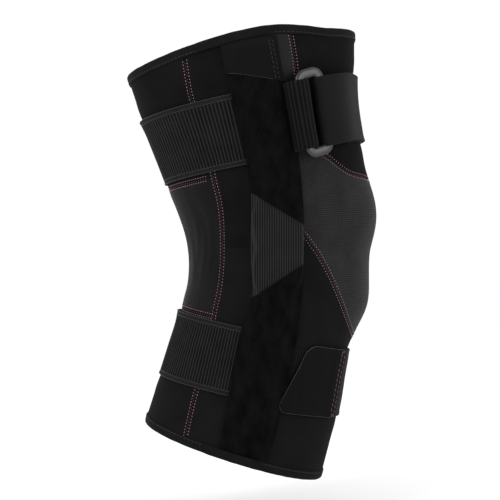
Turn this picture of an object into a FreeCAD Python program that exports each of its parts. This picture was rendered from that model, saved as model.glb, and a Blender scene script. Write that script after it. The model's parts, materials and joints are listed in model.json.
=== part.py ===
import FreeCAD, Part
import math
import os

from FreeCAD import Placement, Rotation, Vector

# Hinged knee brace, in millimetres.
# Frame: +X front (kneecap), -Y lateral, +Y medial, +Z up.
# The origin is the knee centre, midway between the two hinges.
# At rest the knee is bent a little: the thigh half and the calf half both lean back from the knee.

os.makedirs("parts", exist_ok=True)
doc = FreeCAD.newDocument("knee_brace")
sheet = doc.addObject("Spreadsheet::Sheet", "Sizes")

SIZES = {
    # lean of each half behind the vertical, in degrees, and of the hinge bars inside them
    "thigh_lean": 10.5,
    "calf_lean": 11.5,
    "upper_bar_lean": 8.5,
    "lower_bar_lean": 9.5,
    "bottom_rim_extra_tilt": 6.0,
    # sleeve sections: height along the half, centre offset to the front, half depth, half width
    "top_height": 153.0,
    "top_centre": -0.5,
    "top_depth": 90.0,
    "top_width": 74.5,
    "thigh_height": 90.0,
    "thigh_centre": -0.5,
    "thigh_depth": 79.5,
    "thigh_width": 68.5,
    "above_knee_height": 42.0,
    "above_knee_centre": 4.0,
    "above_knee_depth": 74.8,
    "above_knee_width": 61.8,
    "knee_height": 0.0,
    "knee_centre": 3.0,
    "knee_depth": 71.5,
    "knee_width": 60.0,
    "below_knee_height": 42.0,
    "below_knee_centre": 5.0,
    "below_knee_depth": 67.8,
    "below_knee_width": 59.0,
    "calf_height": 95.0,
    "calf_centre": 1.0,
    "calf_depth": 68.2,
    "calf_width": 59.5,
    "bottom_height": 163.0,
    "bottom_centre": -2.5,
    "bottom_depth": 71.0,
    "bottom_width": 58.0,
    "sleeve_thickness": 4.0,
    # seams and edges
    "binding_height": 7.0,
    "seam_gap": 0.4,
    "knee_zone_half_height": 50.0,
    "front_seam_angle": 70.0,
    "back_seam_angle": 130.0,
    "seam_gap_angle": 0.3,
    "tool_radius": 160.0,
    "tool_height": 400.0,
    # straps
    "strap_width": 51.0,
    "strap_lift": 0.5,
    "strap_thickness": 1.9,
    "tab_lift": 0.3,
    "thigh_back_strap_bottom": 64.0,
    "calf_back_strap_top": 62.5,
    "back_strap_half_angle": 70.0,
    "thigh_front_strap_bottom": 70.0,
    "thigh_front_strap_start": 47.0,
    "thigh_front_strap_end": 68.0,
    "thigh_strap_tab_start": 38.0,
    "thigh_strap_tab_end": 14.0,
    "calf_front_strap_top": 65.0,
    "calf_front_strap_start": 26.0,
    "calf_front_strap_end": 72.0,
    "calf_strap_tab_end": 64.0,
    "side_elastic_top": 70.0,
    "side_elastic_width": 32.0,
    "side_elastic_start": 65.0,
    "side_elastic_end": 69.0,
    "ring_loop_start": 60.5,
    "ring_loop_end": 68.0,
    # rectangular ring
    "ring_length": 64.0,
    "ring_width": 24.0,
    "ring_thickness": 5.0,
    "ring_bar": 5.5,
    "ring_corner": 7.0,
    "ring_edge_round": 2.0,
    "ring_angle": 59.0,
    "ring_middle": 95.5,
    "ring_lift": 8.4,
    "ring_tilt": 6.8,
    # geared hinge
    "tooth_module": 1.3,
    "tooth_count": 14.0,
    "pressure_angle": 25.0,
    "addendum_share": 0.8,
    "dedendum_share": 1.1,
    "backlash": 0.15,
    "tooth_root_overlap": 0.5,
    "pivot_half_distance": 9.15,
    "bar_thickness": 2.4,
    "bar_width": 16.0,
    "bar_middle": 66.6,
    "bar_bend_height": 24.0,
    "bar_end_round": 5.0,
    "upper_bar_length": 130.0,
    "lower_bar_length": 128.0,
    "upper_bar_flare": 6.3,
    "lower_bar_flare": -1.6,
    "rivet_radius": 2.5,
    "rivet_clearance": 0.05,
    "rivet_head_radius": 4.6,
    "rivet_head_height": 0.8,
    "washer_radius": 6.5,
    "washer_thickness": 0.4,
    "washer_clearance": 0.1,
    "plate_radius": 13.0,
    "plate_thickness": 1.0,
    "stop_pin_radius": 1.5,
    "stop_pin_front": 9.85,
    "stop_pin_rise": 6.0,
    "pad_depth": 36.0,
    "pad_height": 50.0,
    "pad_thickness": 1.6,
    "pad_inner": 61.3,
    "tip_cap_height": 12.0,
    "tip_cap_wall": 1.0,
    # hinge pocket
    "pocket_half_width": 21.0,
    "pocket_wall": 1.3,
    "pocket_inside": 4.0,
    "pocket_skirt": 3.4,
    "pocket_rear_start": 40.0,
    "pocket_front_start": 16.5,
    "upper_pocket_end": 132.0,
    "lower_pocket_end": 140.0,
    "rib_panel_rear": 33.8,
    "rib_panel_front": 18.0,
    "flap_half_width": 19.5,
    "flap_bottom": 108.0,
    "flap_top": 147.0,
    "flap_lift": 0.4,
}

for row, (alias, value) in enumerate(SIZES.items(), start=1):
    sheet.set(f"A{row}", alias)
    sheet.set(f"B{row}", str(value))
    sheet.setAlias(f"B{row}", alias)
doc.recompute()


def size(alias):
    """The value of one named cell."""
    return float(getattr(sheet, alias))


def bind(item, prop, expression):
    """Bind a property to the sheet; words that name a cell are prefixed with the sheet's name."""
    words = expression.split(" ")
    item.setExpression(prop, " ".join(f"Sizes.{word}" if word in SIZES else word for word in words))


def add(kind, label, **bound):
    """Add an object with its size properties bound to the sheet."""
    item = doc.addObject(kind, label)
    item.Label = label
    for prop, expression in bound.items():
        bind(item, prop, expression)
    return item


def boolean(kind, label, base, tool):
    item = doc.addObject(kind, label)
    item.Label = label
    item.Base = base
    item.Tool = tool
    return item


def group(kind, label, pieces):
    item = doc.addObject(kind, label)
    item.Label = label
    if kind == "Part::Compound":
        item.Links = pieces
    else:
        item.Shapes = pieces
    return item


# ---------------------------------------------------------------- frames

THIGH_FRAME = Placement(Vector(), Rotation(Vector(0, 1, 0), -size("thigh_lean")))
CALF_FRAME = Placement(Vector(), Rotation(Vector(0, 1, 0), size("calf_lean")))
LINK_FRAME = Placement()
RIM_TILT = Placement(Vector(), Rotation(Vector(0, 1, 0), size("bottom_rim_extra_tilt")))
FLIP = Placement(Vector(), Rotation(Vector(0, 1, 0), 180))


def lift(height):
    return Placement(Vector(0, 0, height), Rotation())


# ---------------------------------------------------------------- sleeve lofts

SECTIONS = [
    ("top", THIGH_FRAME, 1),
    ("thigh", THIGH_FRAME, 1),
    ("above_knee", THIGH_FRAME, 1),
    ("knee", LINK_FRAME, 1),
    ("below_knee", CALF_FRAME, -1),
    ("calf", CALF_FRAME, -1),
    ("bottom", CALF_FRAME, -1),
]


def sleeve_loft(label, grow):
    """A solid leg shape through the seven sections, each grown by an expression of the sheet."""
    rings = []
    for name, frame, side in SECTIONS:
        ring = add(
            "Part::Ellipse",
            f"{label}_{name}",
            MajorRadius=f"{name}_depth + {grow}",
            MinorRadius=f"{name}_width + {grow}",
        )
        place = Placement(Vector(size(f"{name}_centre"), 0, side * size(f"{name}_height")), Rotation())
        tilt = RIM_TILT if name == "bottom" else Placement()
        ring.Placement = frame.multiply(place).multiply(tilt)
        rings.append(ring)
    loft = doc.addObject("Part::Loft", label)
    loft.Sections = rings
    loft.Solid = True
    loft.Ruled = False
    return loft


sleeve_outside = sleeve_loft("sleeve_outside", "0 * seam_gap")
sleeve_inside = sleeve_loft("sleeve_inside", "0 - sleeve_thickness")
strap_inside = sleeve_loft("strap_inside", "strap_lift")
strap_outside = sleeve_loft("strap_outside", "strap_lift + strap_thickness")
tab_inside = sleeve_loft("tab_inside", "strap_lift + strap_thickness + tab_lift")
tab_outside = sleeve_loft("tab_outside", "strap_lift + strap_thickness + tab_lift + strap_thickness")

sleeve = boolean("Part::Cut", "sleeve", sleeve_outside, sleeve_inside)
strap_layer = boolean("Part::Cut", "strap_layer", strap_outside, strap_inside)
tab_layer = boolean("Part::Cut", "tab_layer", tab_outside, tab_inside)


def sector(label, frame, bottom, top, start, end, gap="0 * seam_gap"):
    """A pie slice that cuts one panel or strap out of a layer.

    The heights are expressions; so are start and end, the angles from the front towards the medial side.
    """
    tool = add(
        "Part::Cylinder",
        label,
        Radius="tool_radius",
        Height=f"{top} - ( {bottom} ) - {gap}",
        Angle=f"{end} - ( {start} ) - seam_gap_angle",
    )
    doc.recompute()
    low = evaluate(f"{bottom} + {gap} / 2")
    turn = evaluate(f"{start} + seam_gap_angle / 2")
    tool.Placement = frame.multiply(Placement(Vector(0, 0, low), Rotation(Vector(0, 0, 1), turn)))
    return tool


def evaluate(expression):
    words = expression.split(" ")
    value = sheet.evalExpression(" ".join(f"Sizes.{word}" if word in SIZES else word for word in words))
    return float(value)


# ---------------------------------------------------------------- sleeve panels

QUARTERS = {
    "front": ("0 - front_seam_angle", "front_seam_angle"),
    "medial": ("front_seam_angle", "back_seam_angle"),
    "back": ("back_seam_angle", "360 - back_seam_angle"),
    "lateral": ("360 - back_seam_angle", "360 - front_seam_angle"),
}
KNEE_NAMES = {
    "front": "patella_panel",
    "medial": "medial_knee_panel",
    "back": "popliteal_panel",
    "lateral": "lateral_knee_panel",
}


def half_space(label, frame, start, up):
    """A large cylinder that begins at a height along the frame's axis and runs up or down."""
    tool = add("Part::Cylinder", label, Radius="tool_radius", Height="tool_height")
    height = evaluate(start)
    tool.Placement = frame.multiply(lift(height if up else height - size("tool_height")))
    return tool


above_knee = half_space("above_knee_space", THIGH_FRAME, "knee_zone_half_height - seam_gap / 2", True)
below_knee = half_space("below_knee_space", CALF_FRAME, "seam_gap / 2 - knee_zone_half_height", False)
not_above = boolean("Part::Cut", "sleeve_below_thigh", sleeve, above_knee)
knee_zone = boolean("Part::Cut", "knee_zone", not_above, below_knee)

RIM_FRAME = CALF_FRAME.multiply(
    Placement(Vector(size("bottom_centre"), 0, -size("bottom_height")), Rotation())
).multiply(RIM_TILT)
bottom_band = half_space("bottom_band_space", RIM_FRAME, "binding_height", False)
bottom_cut = half_space("bottom_cut_space", RIM_FRAME, "binding_height + seam_gap", False)
calf_zone = boolean("Part::Cut", "calf_zone", sleeve, bottom_cut)
bottom_binding = boolean("Part::Common", "bottom_binding", sleeve, bottom_band)
top_band = half_space("top_band_space", THIGH_FRAME, "top_height - binding_height", True)
top_binding = boolean("Part::Common", "top_binding", sleeve, top_band)

nodes = [top_binding, bottom_binding]

for quarter, (start, end) in QUARTERS.items():
    thigh_slice = sector(
        f"thigh_{quarter}_slice",
        THIGH_FRAME,
        "knee_zone_half_height",
        "top_height - binding_height",
        start,
        end,
        "seam_gap",
    )
    nodes.append(boolean("Part::Common", f"thigh_{quarter}_panel", sleeve, thigh_slice))
    knee_slice = sector(
        f"knee_{quarter}_slice", LINK_FRAME, "0 - tool_height / 2", "tool_height / 2", start, end
    )
    nodes.append(boolean("Part::Common", KNEE_NAMES[quarter], knee_zone, knee_slice))
    calf_slice = sector(
        f"calf_{quarter}_slice",
        CALF_FRAME,
        "0 - tool_height",
        "0 - knee_zone_half_height - seam_gap / 2",
        start,
        end,
    )
    nodes.append(boolean("Part::Common", f"calf_{quarter}_panel", calf_zone, calf_slice))

# ---------------------------------------------------------------- straps

STRAPS = [
    # name, layer, frame, bottom edge, width, start angle, end angle
    (
        "thigh_back_strap",
        strap_layer,
        THIGH_FRAME,
        "thigh_back_strap_bottom",
        "strap_width",
        "180 - back_strap_half_angle",
        "180 + back_strap_half_angle",
    ),
    (
        "calf_back_strap",
        strap_layer,
        CALF_FRAME,
        "0 - calf_back_strap_top - strap_width",
        "strap_width",
        "180 - back_strap_half_angle",
        "180 + back_strap_half_angle",
    ),
    (
        "thigh_front_strap",
        strap_layer,
        THIGH_FRAME,
        "thigh_front_strap_bottom",
        "strap_width",
        "0 - thigh_front_strap_start",
        "thigh_front_strap_end",
    ),
    (
        "thigh_strap_tab",
        tab_layer,
        THIGH_FRAME,
        "thigh_front_strap_bottom",
        "strap_width",
        "0 - thigh_strap_tab_start",
        "thigh_strap_tab_end",
    ),
    (
        "ring_loop",
        strap_layer,
        THIGH_FRAME,
        "thigh_front_strap_bottom",
        "strap_width",
        "0 - ring_loop_end",
        "0 - ring_loop_start",
    ),
    (
        "calf_front_strap",
        strap_layer,
        CALF_FRAME,
        "0 - calf_front_strap_top - strap_width",
        "strap_width",
        "0 - calf_front_strap_start",
        "calf_front_strap_end",
    ),
    (
        "calf_strap_tab",
        tab_layer,
        CALF_FRAME,
        "0 - calf_front_strap_top - strap_width",
        "strap_width",
        "0 - calf_strap_tab_end",
        "0 - calf_front_strap_start",
    ),
    (
        "calf_side_elastic",
        strap_layer,
        CALF_FRAME,
        "0 - side_elastic_top - side_elastic_width",
        "side_elastic_width",
        "0 - side_elastic_end",
        "0 - side_elastic_start",
    ),
]

for name, layer, frame, bottom, width, start, end in STRAPS:
    cutter = sector(f"{name}_slice", frame, bottom, f"{bottom} + {width}", start, end)
    nodes.append(boolean("Part::Common", name, layer, cutter))

# ---------------------------------------------------------------- sketch helpers


def plane(body, role):
    for feature in body.Origin.OriginFeatures:
        if feature.Role == role:
            return feature
    raise ValueError(role)


def sketch(body, name, role):
    drawn = body.newObject("Sketcher::SketchObject", name)
    drawn.AttachmentSupport = [(plane(body, role), "")]
    drawn.MapMode = "FlatFace"
    return drawn


def polygon(drawn, points):
    """Closed outline of straight lines through the points (pairs)."""
    corners = [Vector(x, y, 0) for x, y in points]
    for here, there in zip(corners, corners[1:] + corners[:1]):
        drawn.addGeometry(Part.LineSegment(here, there), False)


def circle(drawn, radius, centre=(0, 0)):
    return drawn.addGeometry(Part.Circle(Vector(centre[0], centre[1], 0), Vector(0, 0, 1), radius), False)


def pad(body, drawn, name, length, midplane=False):
    feature = body.newObject("PartDesign::Pad", name)
    feature.Profile = drawn
    bind(feature, "Length", length)
    feature.Midplane = midplane
    return feature


def checked_pocket(body, drawn, name, length, midplane=False, flip=False):
    """Cut a sketch out of the body and make sure that it removed something."""
    doc.recompute()
    before = body.Shape.Volume
    feature = body.newObject("PartDesign::Pocket", name)
    feature.Profile = drawn
    bind(feature, "Length", length)
    feature.Midplane = midplane
    feature.Reversed = flip
    doc.recompute()
    if body.Shape.Volume >= before:
        raise ValueError(f"{name} cuts nothing")
    return feature


# ---------------------------------------------------------------- rectangular ring

ring = add("PartDesign::Body", "strap_ring")
ring_outline = sketch(ring, "ring_outline", "XZ_Plane")
half_w = size("ring_width") / 2
half_l = size("ring_length") / 2
polygon(ring_outline, [(-half_w, -half_l), (half_w, -half_l), (half_w, half_l), (-half_w, half_l)])
pad(ring, ring_outline, "ring_plate", "ring_thickness", True)
doc.recompute()
corners = [
    f"Edge{index}"
    for index, edge in enumerate(ring.Shape.Edges, start=1)
    if abs(edge.BoundBox.YLength - size("ring_thickness")) < 0.01
]
ring_corners = ring.newObject("PartDesign::Fillet", "ring_corners")
ring_corners.Base = (doc.getObject("ring_plate"), corners)
bind(ring_corners, "Radius", "ring_corner")
doc.recompute()
window = sketch(ring, "ring_window_outline", "XZ_Plane")
open_w = half_w - size("ring_bar")
open_l = half_l - size("ring_bar")
polygon(window, [(-open_w, -open_l), (open_w, -open_l), (open_w, open_l), (-open_w, open_l)])
checked_pocket(ring, window, "ring_window", "tool_radius", True)
rounds = [
    f"Edge{index}"
    for index, edge in enumerate(ring.Shape.Edges, start=1)
    if edge.BoundBox.YLength < 0.01
]
ring_round = ring.newObject("PartDesign::Chamfer", "ring_round")
ring_round.Base = (doc.getObject("ring_window"), rounds)
bind(ring_round, "Size", "ring_edge_round / 2")
doc.recompute()

ring_turn = math.radians(size("ring_angle"))
ring_x = size("thigh_centre") + (size("thigh_depth") + size("ring_lift")) * math.cos(ring_turn)
ring_y = -(size("thigh_width") + size("ring_lift")) * math.sin(ring_turn)
# the surface's normal at that angle, which the ring's flat side faces
normal_x = math.cos(ring_turn) / size("thigh_depth")
normal_y = -math.sin(ring_turn) / size("thigh_width")
ring_facing = math.degrees(math.atan2(normal_y, normal_x)) + 90
ring.Placement = THIGH_FRAME.multiply(
    Placement(Vector(ring_x, ring_y, size("ring_middle")), Rotation(Vector(0, 0, 1), ring_facing))
).multiply(Placement(Vector(), Rotation(Vector(1, 0, 0), size("ring_tilt"))))
nodes.append(ring)

# ---------------------------------------------------------------- hinge, lateral side

UPPER_PIVOT = lift(size("pivot_half_distance"))
LOWER_PIVOT = lift(-size("pivot_half_distance"))
OUTWARD = Placement(Vector(0, -size("bar_middle"), 0), Rotation())
UPPER_BAR_FRAME = OUTWARD.multiply(UPPER_PIVOT).multiply(
    Placement(Vector(), Rotation(Vector(0, 1, 0), -size("upper_bar_lean")))
)
LOWER_BAR_FRAME = (
    OUTWARD.multiply(LOWER_PIVOT)
    .multiply(Placement(Vector(), Rotation(Vector(0, 1, 0), size("lower_bar_lean"))))
    .multiply(FLIP)
)

TOOTH_STEP = 360 / size("tooth_count")
TEETH_PER_HEAD = 6
PITCH_RADIUS = size("tooth_module") * size("tooth_count") / 2
ROOT_RADIUS = PITCH_RADIUS - size("dedendum_share") * size("tooth_module")
TIP_RADIUS = PITCH_RADIUS + size("addendum_share") * size("tooth_module")


def involute(angle):
    return math.tan(angle) - angle


def tooth_outline(middle):
    """One involute tooth, pointing at an angle in degrees from the X axis towards the Z axis."""
    base = PITCH_RADIUS * math.cos(math.radians(size("pressure_angle")))
    half_at_pitch = math.pi / (2 * size("tooth_count")) - size("backlash") / (2 * PITCH_RADIUS)
    flank_steps = 5
    widest = half_at_pitch + involute(math.radians(size("pressure_angle")))
    flank = [(ROOT_RADIUS - size("tooth_root_overlap"), widest)]
    for step in range(flank_steps + 1):
        radius = base + (TIP_RADIUS - base) * step / flank_steps
        turn = involute(math.acos(base / radius))
        flank.append((radius, widest - turn))
    centre = math.radians(middle)
    rising = [(r * math.cos(centre - half), r * math.sin(centre - half)) for r, half in flank]
    falling = [(r * math.cos(centre + half), r * math.sin(centre + half)) for r, half in reversed(flank)]
    return rising + falling


def hinge_bar(label, frame, length, flare, first_tooth):
    """A flat bar with a toothed head at its pivot, bent outward above the head and rounded at its end."""
    body = add("PartDesign::Body", label)
    head = sketch(body, f"{label}_head_outline", "XZ_Plane")
    circle(head, ROOT_RADIUS)
    pad(body, head, f"{label}_head", "bar_thickness", True)

    tooth = sketch(body, f"{label}_tooth_outline", "XZ_Plane")
    polygon(tooth, tooth_outline(first_tooth))
    first = pad(body, tooth, f"{label}_tooth", "bar_thickness", True)
    doc.recompute()
    teeth = body.newObject("PartDesign::PolarPattern", f"{label}_teeth")
    teeth.Originals = [first]
    teeth.Axis = (tooth, ["N_Axis"])
    teeth.Angle = TOOTH_STEP * (TEETH_PER_HEAD - 1)
    teeth.Occurrences = TEETH_PER_HEAD
    body.Tip = teeth
    doc.recompute()

    neck = sketch(body, f"{label}_neck_outline", "XZ_Plane")
    half = size("bar_width") / 2
    bend = size("bar_bend_height")
    polygon(neck, [(-half, 0), (half, 0), (half, bend), (-half, bend)])
    pad(body, neck, f"{label}_neck", "bar_thickness", True)
    doc.recompute()

    shank = sketch(body, f"{label}_shank_outline", "YZ_Plane")
    rise = size(length) - bend
    out = rise * math.tan(math.radians(size(flare)))
    side = size("bar_thickness") / 2
    polygon(shank, [(-side, bend), (side, bend), (side - out, size(length)), (-side - out, size(length))])
    pad(body, shank, f"{label}_shank", "bar_width", True)
    doc.recompute()

    end_edges = [
        f"Edge{index}"
        for index, edge in enumerate(body.Shape.Edges, start=1)
        if edge.BoundBox.XLength < 0.01
        and edge.BoundBox.ZLength < 0.01
        and edge.BoundBox.ZMin > size(length) - 0.01
    ]
    end_round = body.newObject("PartDesign::Fillet", f"{label}_end_round")
    end_round.Base = (doc.getObject(f"{label}_shank"), end_edges)
    bind(end_round, "Radius", "bar_end_round")
    doc.recompute()

    hole = sketch(body, f"{label}_hole_outline", "XZ_Plane")
    circle(hole, size("rivet_radius") + size("rivet_clearance"))
    checked_pocket(body, hole, f"{label}_hole", "tool_radius", True)
    body.Placement = frame
    return body


# Angles of the first tooth in the bar's own frame, where the bar points along +Z.
# The upper head has a tooth, and the lower head a gap, on the line between the pivots.
TEETH_BEFORE_MIDDLE = TEETH_PER_HEAD / 2
upper_first = -90 - size("upper_bar_lean") - TEETH_BEFORE_MIDDLE * TOOTH_STEP
lower_first = -90 + size("lower_bar_lean") - (TEETH_BEFORE_MIDDLE - 0.5) * TOOTH_STEP
upper_bar = hinge_bar(
    "lateral_upper_bar", UPPER_BAR_FRAME, "upper_bar_length", "upper_bar_flare", upper_first
)
lower_bar = hinge_bar(
    "lateral_lower_bar", LOWER_BAR_FRAME, "lower_bar_length", "lower_bar_flare", lower_first
)
lateral = [upper_bar, lower_bar]


def across(near, frame):
    """A placement that turns a cylinder's axis to point from the leg outward, starting at a distance."""
    outward = Rotation(Vector(1, 0, 0), 90)
    return Placement(Vector(0, -near, 0), Rotation()).multiply(frame).multiply(Placement(Vector(), outward))


def disc(label, radius, thickness, near, frame):
    item = add("Part::Cylinder", label, Radius=radius, Height=thickness)
    item.Placement = across(near, frame)
    return item


half_bar = size("bar_thickness") / 2
washer_near = size("bar_middle") - half_bar - size("washer_clearance") - size("washer_thickness")
washer_far = size("bar_middle") + half_bar + size("washer_clearance")
plate_near = washer_near - size("plate_thickness")
plate_far = washer_far + size("washer_thickness")
head_near = plate_near - size("rivet_head_height")
head_far = plate_far + size("plate_thickness")

PIVOTS = {"upper": UPPER_PIVOT, "lower": LOWER_PIVOT}


def link_plate(label, near):
    """A stadium-shaped plate that carries both pivots."""
    body = add("PartDesign::Body", label)
    outline = sketch(body, f"{label}_outline", "XZ_Plane")
    radius = size("plate_radius")
    half = size("pivot_half_distance")
    outline.addGeometry(Part.LineSegment(Vector(radius, -half, 0), Vector(radius, half, 0)), False)
    outline.addGeometry(
        Part.Arc(Vector(radius, half, 0), Vector(0, half + radius, 0), Vector(-radius, half, 0)), False
    )
    outline.addGeometry(Part.LineSegment(Vector(-radius, half, 0), Vector(-radius, -half, 0)), False)
    outline.addGeometry(
        Part.Arc(Vector(-radius, -half, 0), Vector(0, -half - radius, 0), Vector(radius, -half, 0)), False
    )
    pad(body, outline, f"{label}_plate", "plate_thickness")
    holes = sketch(body, f"{label}_holes_outline", "XZ_Plane")
    circle(holes, size("rivet_radius"), (0, half))
    circle(holes, size("rivet_radius"), (0, -half))
    checked_pocket(body, holes, f"{label}_holes", "tool_radius", True)
    body.Placement = Placement(Vector(0, -near, 0), Rotation())
    return body


lateral.append(link_plate("lateral_inner_plate", plate_near))
lateral.append(link_plate("lateral_outer_plate", plate_far))

rivets = []
washers = []
stops = []
for name, pivot in PIVOTS.items():
    shaft = disc(
        f"{name}_rivet_shaft",
        "rivet_radius",
        "bar_thickness + 2 * ( washer_clearance + washer_thickness + plate_thickness )",
        plate_near,
        pivot,
    )
    near_head = disc(f"{name}_rivet_near", "rivet_head_radius", "rivet_head_height", head_near, pivot)
    far_head = disc(f"{name}_rivet_far", "rivet_head_radius", "rivet_head_height", head_far, pivot)
    rivets.append(group("Part::MultiFuse", f"{name}_rivet", [shaft, near_head, far_head]))
    for side, near in (("near", washer_near), ("far", washer_far)):
        rim = disc(f"{name}_washer_{side}_rim", "washer_radius", "washer_thickness", near, pivot)
        bore = disc(f"{name}_washer_{side}_bore", "rivet_radius", "washer_thickness", near, pivot)
        washers.append(boolean("Part::Cut", f"{name}_washer_{side}", rim, bore))
    up = 1 if name == "upper" else -1
    seat = Placement(Vector(size("stop_pin_front"), 0, up * size("stop_pin_rise")), Rotation())
    stops.append(
        disc(
            f"{name}_stop_pin",
            "stop_pin_radius",
            "bar_thickness + 2 * ( washer_clearance + washer_thickness )",
            washer_near,
            pivot.multiply(seat),
        )
    )
lateral.append(group("Part::Compound", "lateral_rivets", rivets))
lateral.append(group("Part::Compound", "lateral_washers", washers))
lateral.append(group("Part::Compound", "lateral_stop_pins", stops))

pad_body = add("PartDesign::Body", "lateral_condyle_pad")
pad_outline = sketch(pad_body, "pad_outline", "XZ_Plane")
pad_round = size("pad_depth") / 2
pad_straight = (size("pad_height") - size("pad_depth")) / 2
pad_outline.addGeometry(
    Part.LineSegment(Vector(pad_round, -pad_straight, 0), Vector(pad_round, pad_straight, 0)), False
)
pad_outline.addGeometry(
    Part.Arc(
        Vector(pad_round, pad_straight, 0),
        Vector(0, pad_straight + pad_round, 0),
        Vector(-pad_round, pad_straight, 0),
    ),
    False,
)
pad_outline.addGeometry(
    Part.LineSegment(Vector(-pad_round, pad_straight, 0), Vector(-pad_round, -pad_straight, 0)), False
)
pad_outline.addGeometry(
    Part.Arc(
        Vector(-pad_round, -pad_straight, 0),
        Vector(0, -pad_straight - pad_round, 0),
        Vector(pad_round, -pad_straight, 0),
    ),
    False,
)
pad(pad_body, pad_outline, "pad_foam", "pad_thickness")
pad_body.Placement = Placement(Vector(0, -size("pad_inner"), 0), Rotation())
lateral.append(pad_body)


def flared(frame, flare):
    """The frame of a bar's bent stretch: its origin is at the bend, in the middle of the bar's thickness."""
    tilt = Placement(Vector(), Rotation(Vector(1, 0, 0), size(flare)))
    return frame.multiply(lift(size("bar_bend_height"))).multiply(tilt)


def block(label, frame, width, depth, height, low):
    """A box centred on the frame's Z axis, with its bottom at a height."""
    item = add("Part::Box", label, Length=width, Width=depth, Height=height)
    doc.recompute()
    corner = Vector(-item.Length.Value / 2, -item.Width.Value / 2, low)
    item.Placement = frame.multiply(Placement(corner, Rotation()))
    return item


def tip_cap(label, frame, flare, length):
    """A plastic cup over the end of a bar."""
    bent = flared(frame, flare)
    reach = (size(length) - size("bar_bend_height")) / math.cos(math.radians(size(flare)))
    low = reach + size("tip_cap_wall") - size("tip_cap_height")
    cup = block(
        f"{label}_cup",
        bent,
        "bar_width + 2 * tip_cap_wall",
        "bar_thickness + 2 * tip_cap_wall",
        "tip_cap_height",
        low,
    )
    slot = block(
        f"{label}_slot",
        bent,
        "bar_width + 2 * rivet_clearance",
        "bar_thickness + 2 * rivet_clearance",
        "tip_cap_height - tip_cap_wall + washer_clearance",
        low,
    )
    return boolean("Part::Cut", label, cup, slot)


lateral.append(tip_cap("lateral_upper_tip_cap", UPPER_BAR_FRAME, "upper_bar_flare", "upper_bar_length"))
lateral.append(tip_cap("lateral_lower_tip_cap", LOWER_BAR_FRAME, "lower_bar_flare", "lower_bar_length"))

# ---------------------------------------------------------------- hinge pocket, lateral side


def pocket_cover(label, frame, flare, end, front_sign):
    """A shallow channel of loop fabric over a bar: a face and two side walls, open towards the leg."""
    body = add("PartDesign::Body", label)
    half = size("pocket_half_width")
    pivot = size("pivot_half_distance")
    bend = size("bar_bend_height")
    rear = size("pocket_rear_start") - pivot - bend
    front = size("pocket_front_start") - pivot - bend
    top = size(end) - bend
    face = sketch(body, f"{label}_face_outline", "XZ_Plane")
    polygon(
        face,
        [
            (-front_sign * half, rear),
            (front_sign * half, front),
            (front_sign * half, top),
            (-front_sign * half, top),
        ],
    )
    pad(body, face, f"{label}_block", "pocket_skirt + pocket_inside + pocket_wall")
    channel = sketch(body, f"{label}_channel_outline", "XZ_Plane")
    inner = half - size("pocket_wall")
    past = size("pocket_wall")
    low = front - half
    polygon(channel, [(-inner, low), (inner, low), (inner, top + past), (-inner, top + past)])
    checked_pocket(body, channel, f"{label}_channel", "pocket_skirt + pocket_inside", False, True)
    shift = Placement(Vector(0, size("pocket_skirt"), 0), Rotation())
    body.Placement = flared(frame, flare).multiply(shift)
    return body


lateral.append(
    pocket_cover("lateral_upper_pocket", UPPER_BAR_FRAME, "upper_bar_flare", "upper_pocket_end", 1)
)
lateral.append(
    pocket_cover("lateral_lower_pocket", LOWER_BAR_FRAME, "lower_bar_flare", "lower_pocket_end", -1)
)

rib_panel = add("PartDesign::Body", "lateral_rib_panel")
rib_outline = sketch(rib_panel, "rib_outline", "XZ_Plane")
rib_half = size("pocket_half_width")
rib_rear = size("rib_panel_rear")
rib_front = size("rib_panel_front")
polygon(
    rib_outline,
    [(-rib_half, -rib_rear), (rib_half, -rib_front), (rib_half, rib_front), (-rib_half, rib_rear)],
)
pad(rib_panel, rib_outline, "rib_sheet", "pocket_wall")
rib_near = size("bar_middle") + size("pocket_inside") + size("flap_lift")
rib_panel.Placement = Placement(Vector(0, -rib_near, 0), Rotation())
lateral.append(rib_panel)

flap = add("PartDesign::Body", "lateral_cap_flap")
flap_outline = sketch(flap, "flap_outline", "XZ_Plane")
flap_half = size("flap_half_width")
flap_low = size("flap_bottom") - size("bar_bend_height")
flap_high = size("flap_top") - size("bar_bend_height") - size("pivot_half_distance")
polygon(
    flap_outline,
    [(-flap_half, flap_low), (flap_half, flap_low), (flap_half, flap_high), (-flap_half, flap_high)],
)
pad(flap, flap_outline, "flap_sheet", "pocket_wall")
flap_near = size("pocket_inside") + size("pocket_wall") + size("flap_lift")
flap.Placement = flared(UPPER_BAR_FRAME, "upper_bar_flare").multiply(
    Placement(Vector(0, -flap_near, 0), Rotation())
)
lateral.append(flap)
nodes.extend(lateral)

# ---------------------------------------------------------------- medial side: the lateral side mirrored

for item in lateral:
    mirrored = doc.addObject("Part::Mirroring", item.Label.replace("lateral", "medial"))
    mirrored.Label = item.Label.replace("lateral", "medial")
    mirrored.Source = item
    mirrored.Normal = Vector(0, 1, 0)
    mirrored.Base = Vector(0, 0, 0)
    nodes.append(mirrored)

# ---------------------------------------------------------------- check and write

doc.recompute()
for item in doc.Objects:
    if "Invalid" in item.State or "Error" in item.State:
        raise ValueError(f"{item.Label} did not compute: {item.State}")
for item in nodes:
    if item.Shape.isNull() or not item.Shape.isValid() or item.Shape.Volume <= 0:
        raise ValueError(f"{item.Label} has no valid solid")
    item.Shape.exportStep(f"parts/{item.Label}.step")
    print(f"{item.Label:26s} solids {len(item.Shape.Solids)}  volume {item.Shape.Volume:9.1f} mm3")
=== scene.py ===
import json
import math

import bmesh
import bpy
import numpy as np
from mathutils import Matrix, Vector
from mathutils.bvhtree import BVHTree


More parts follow.
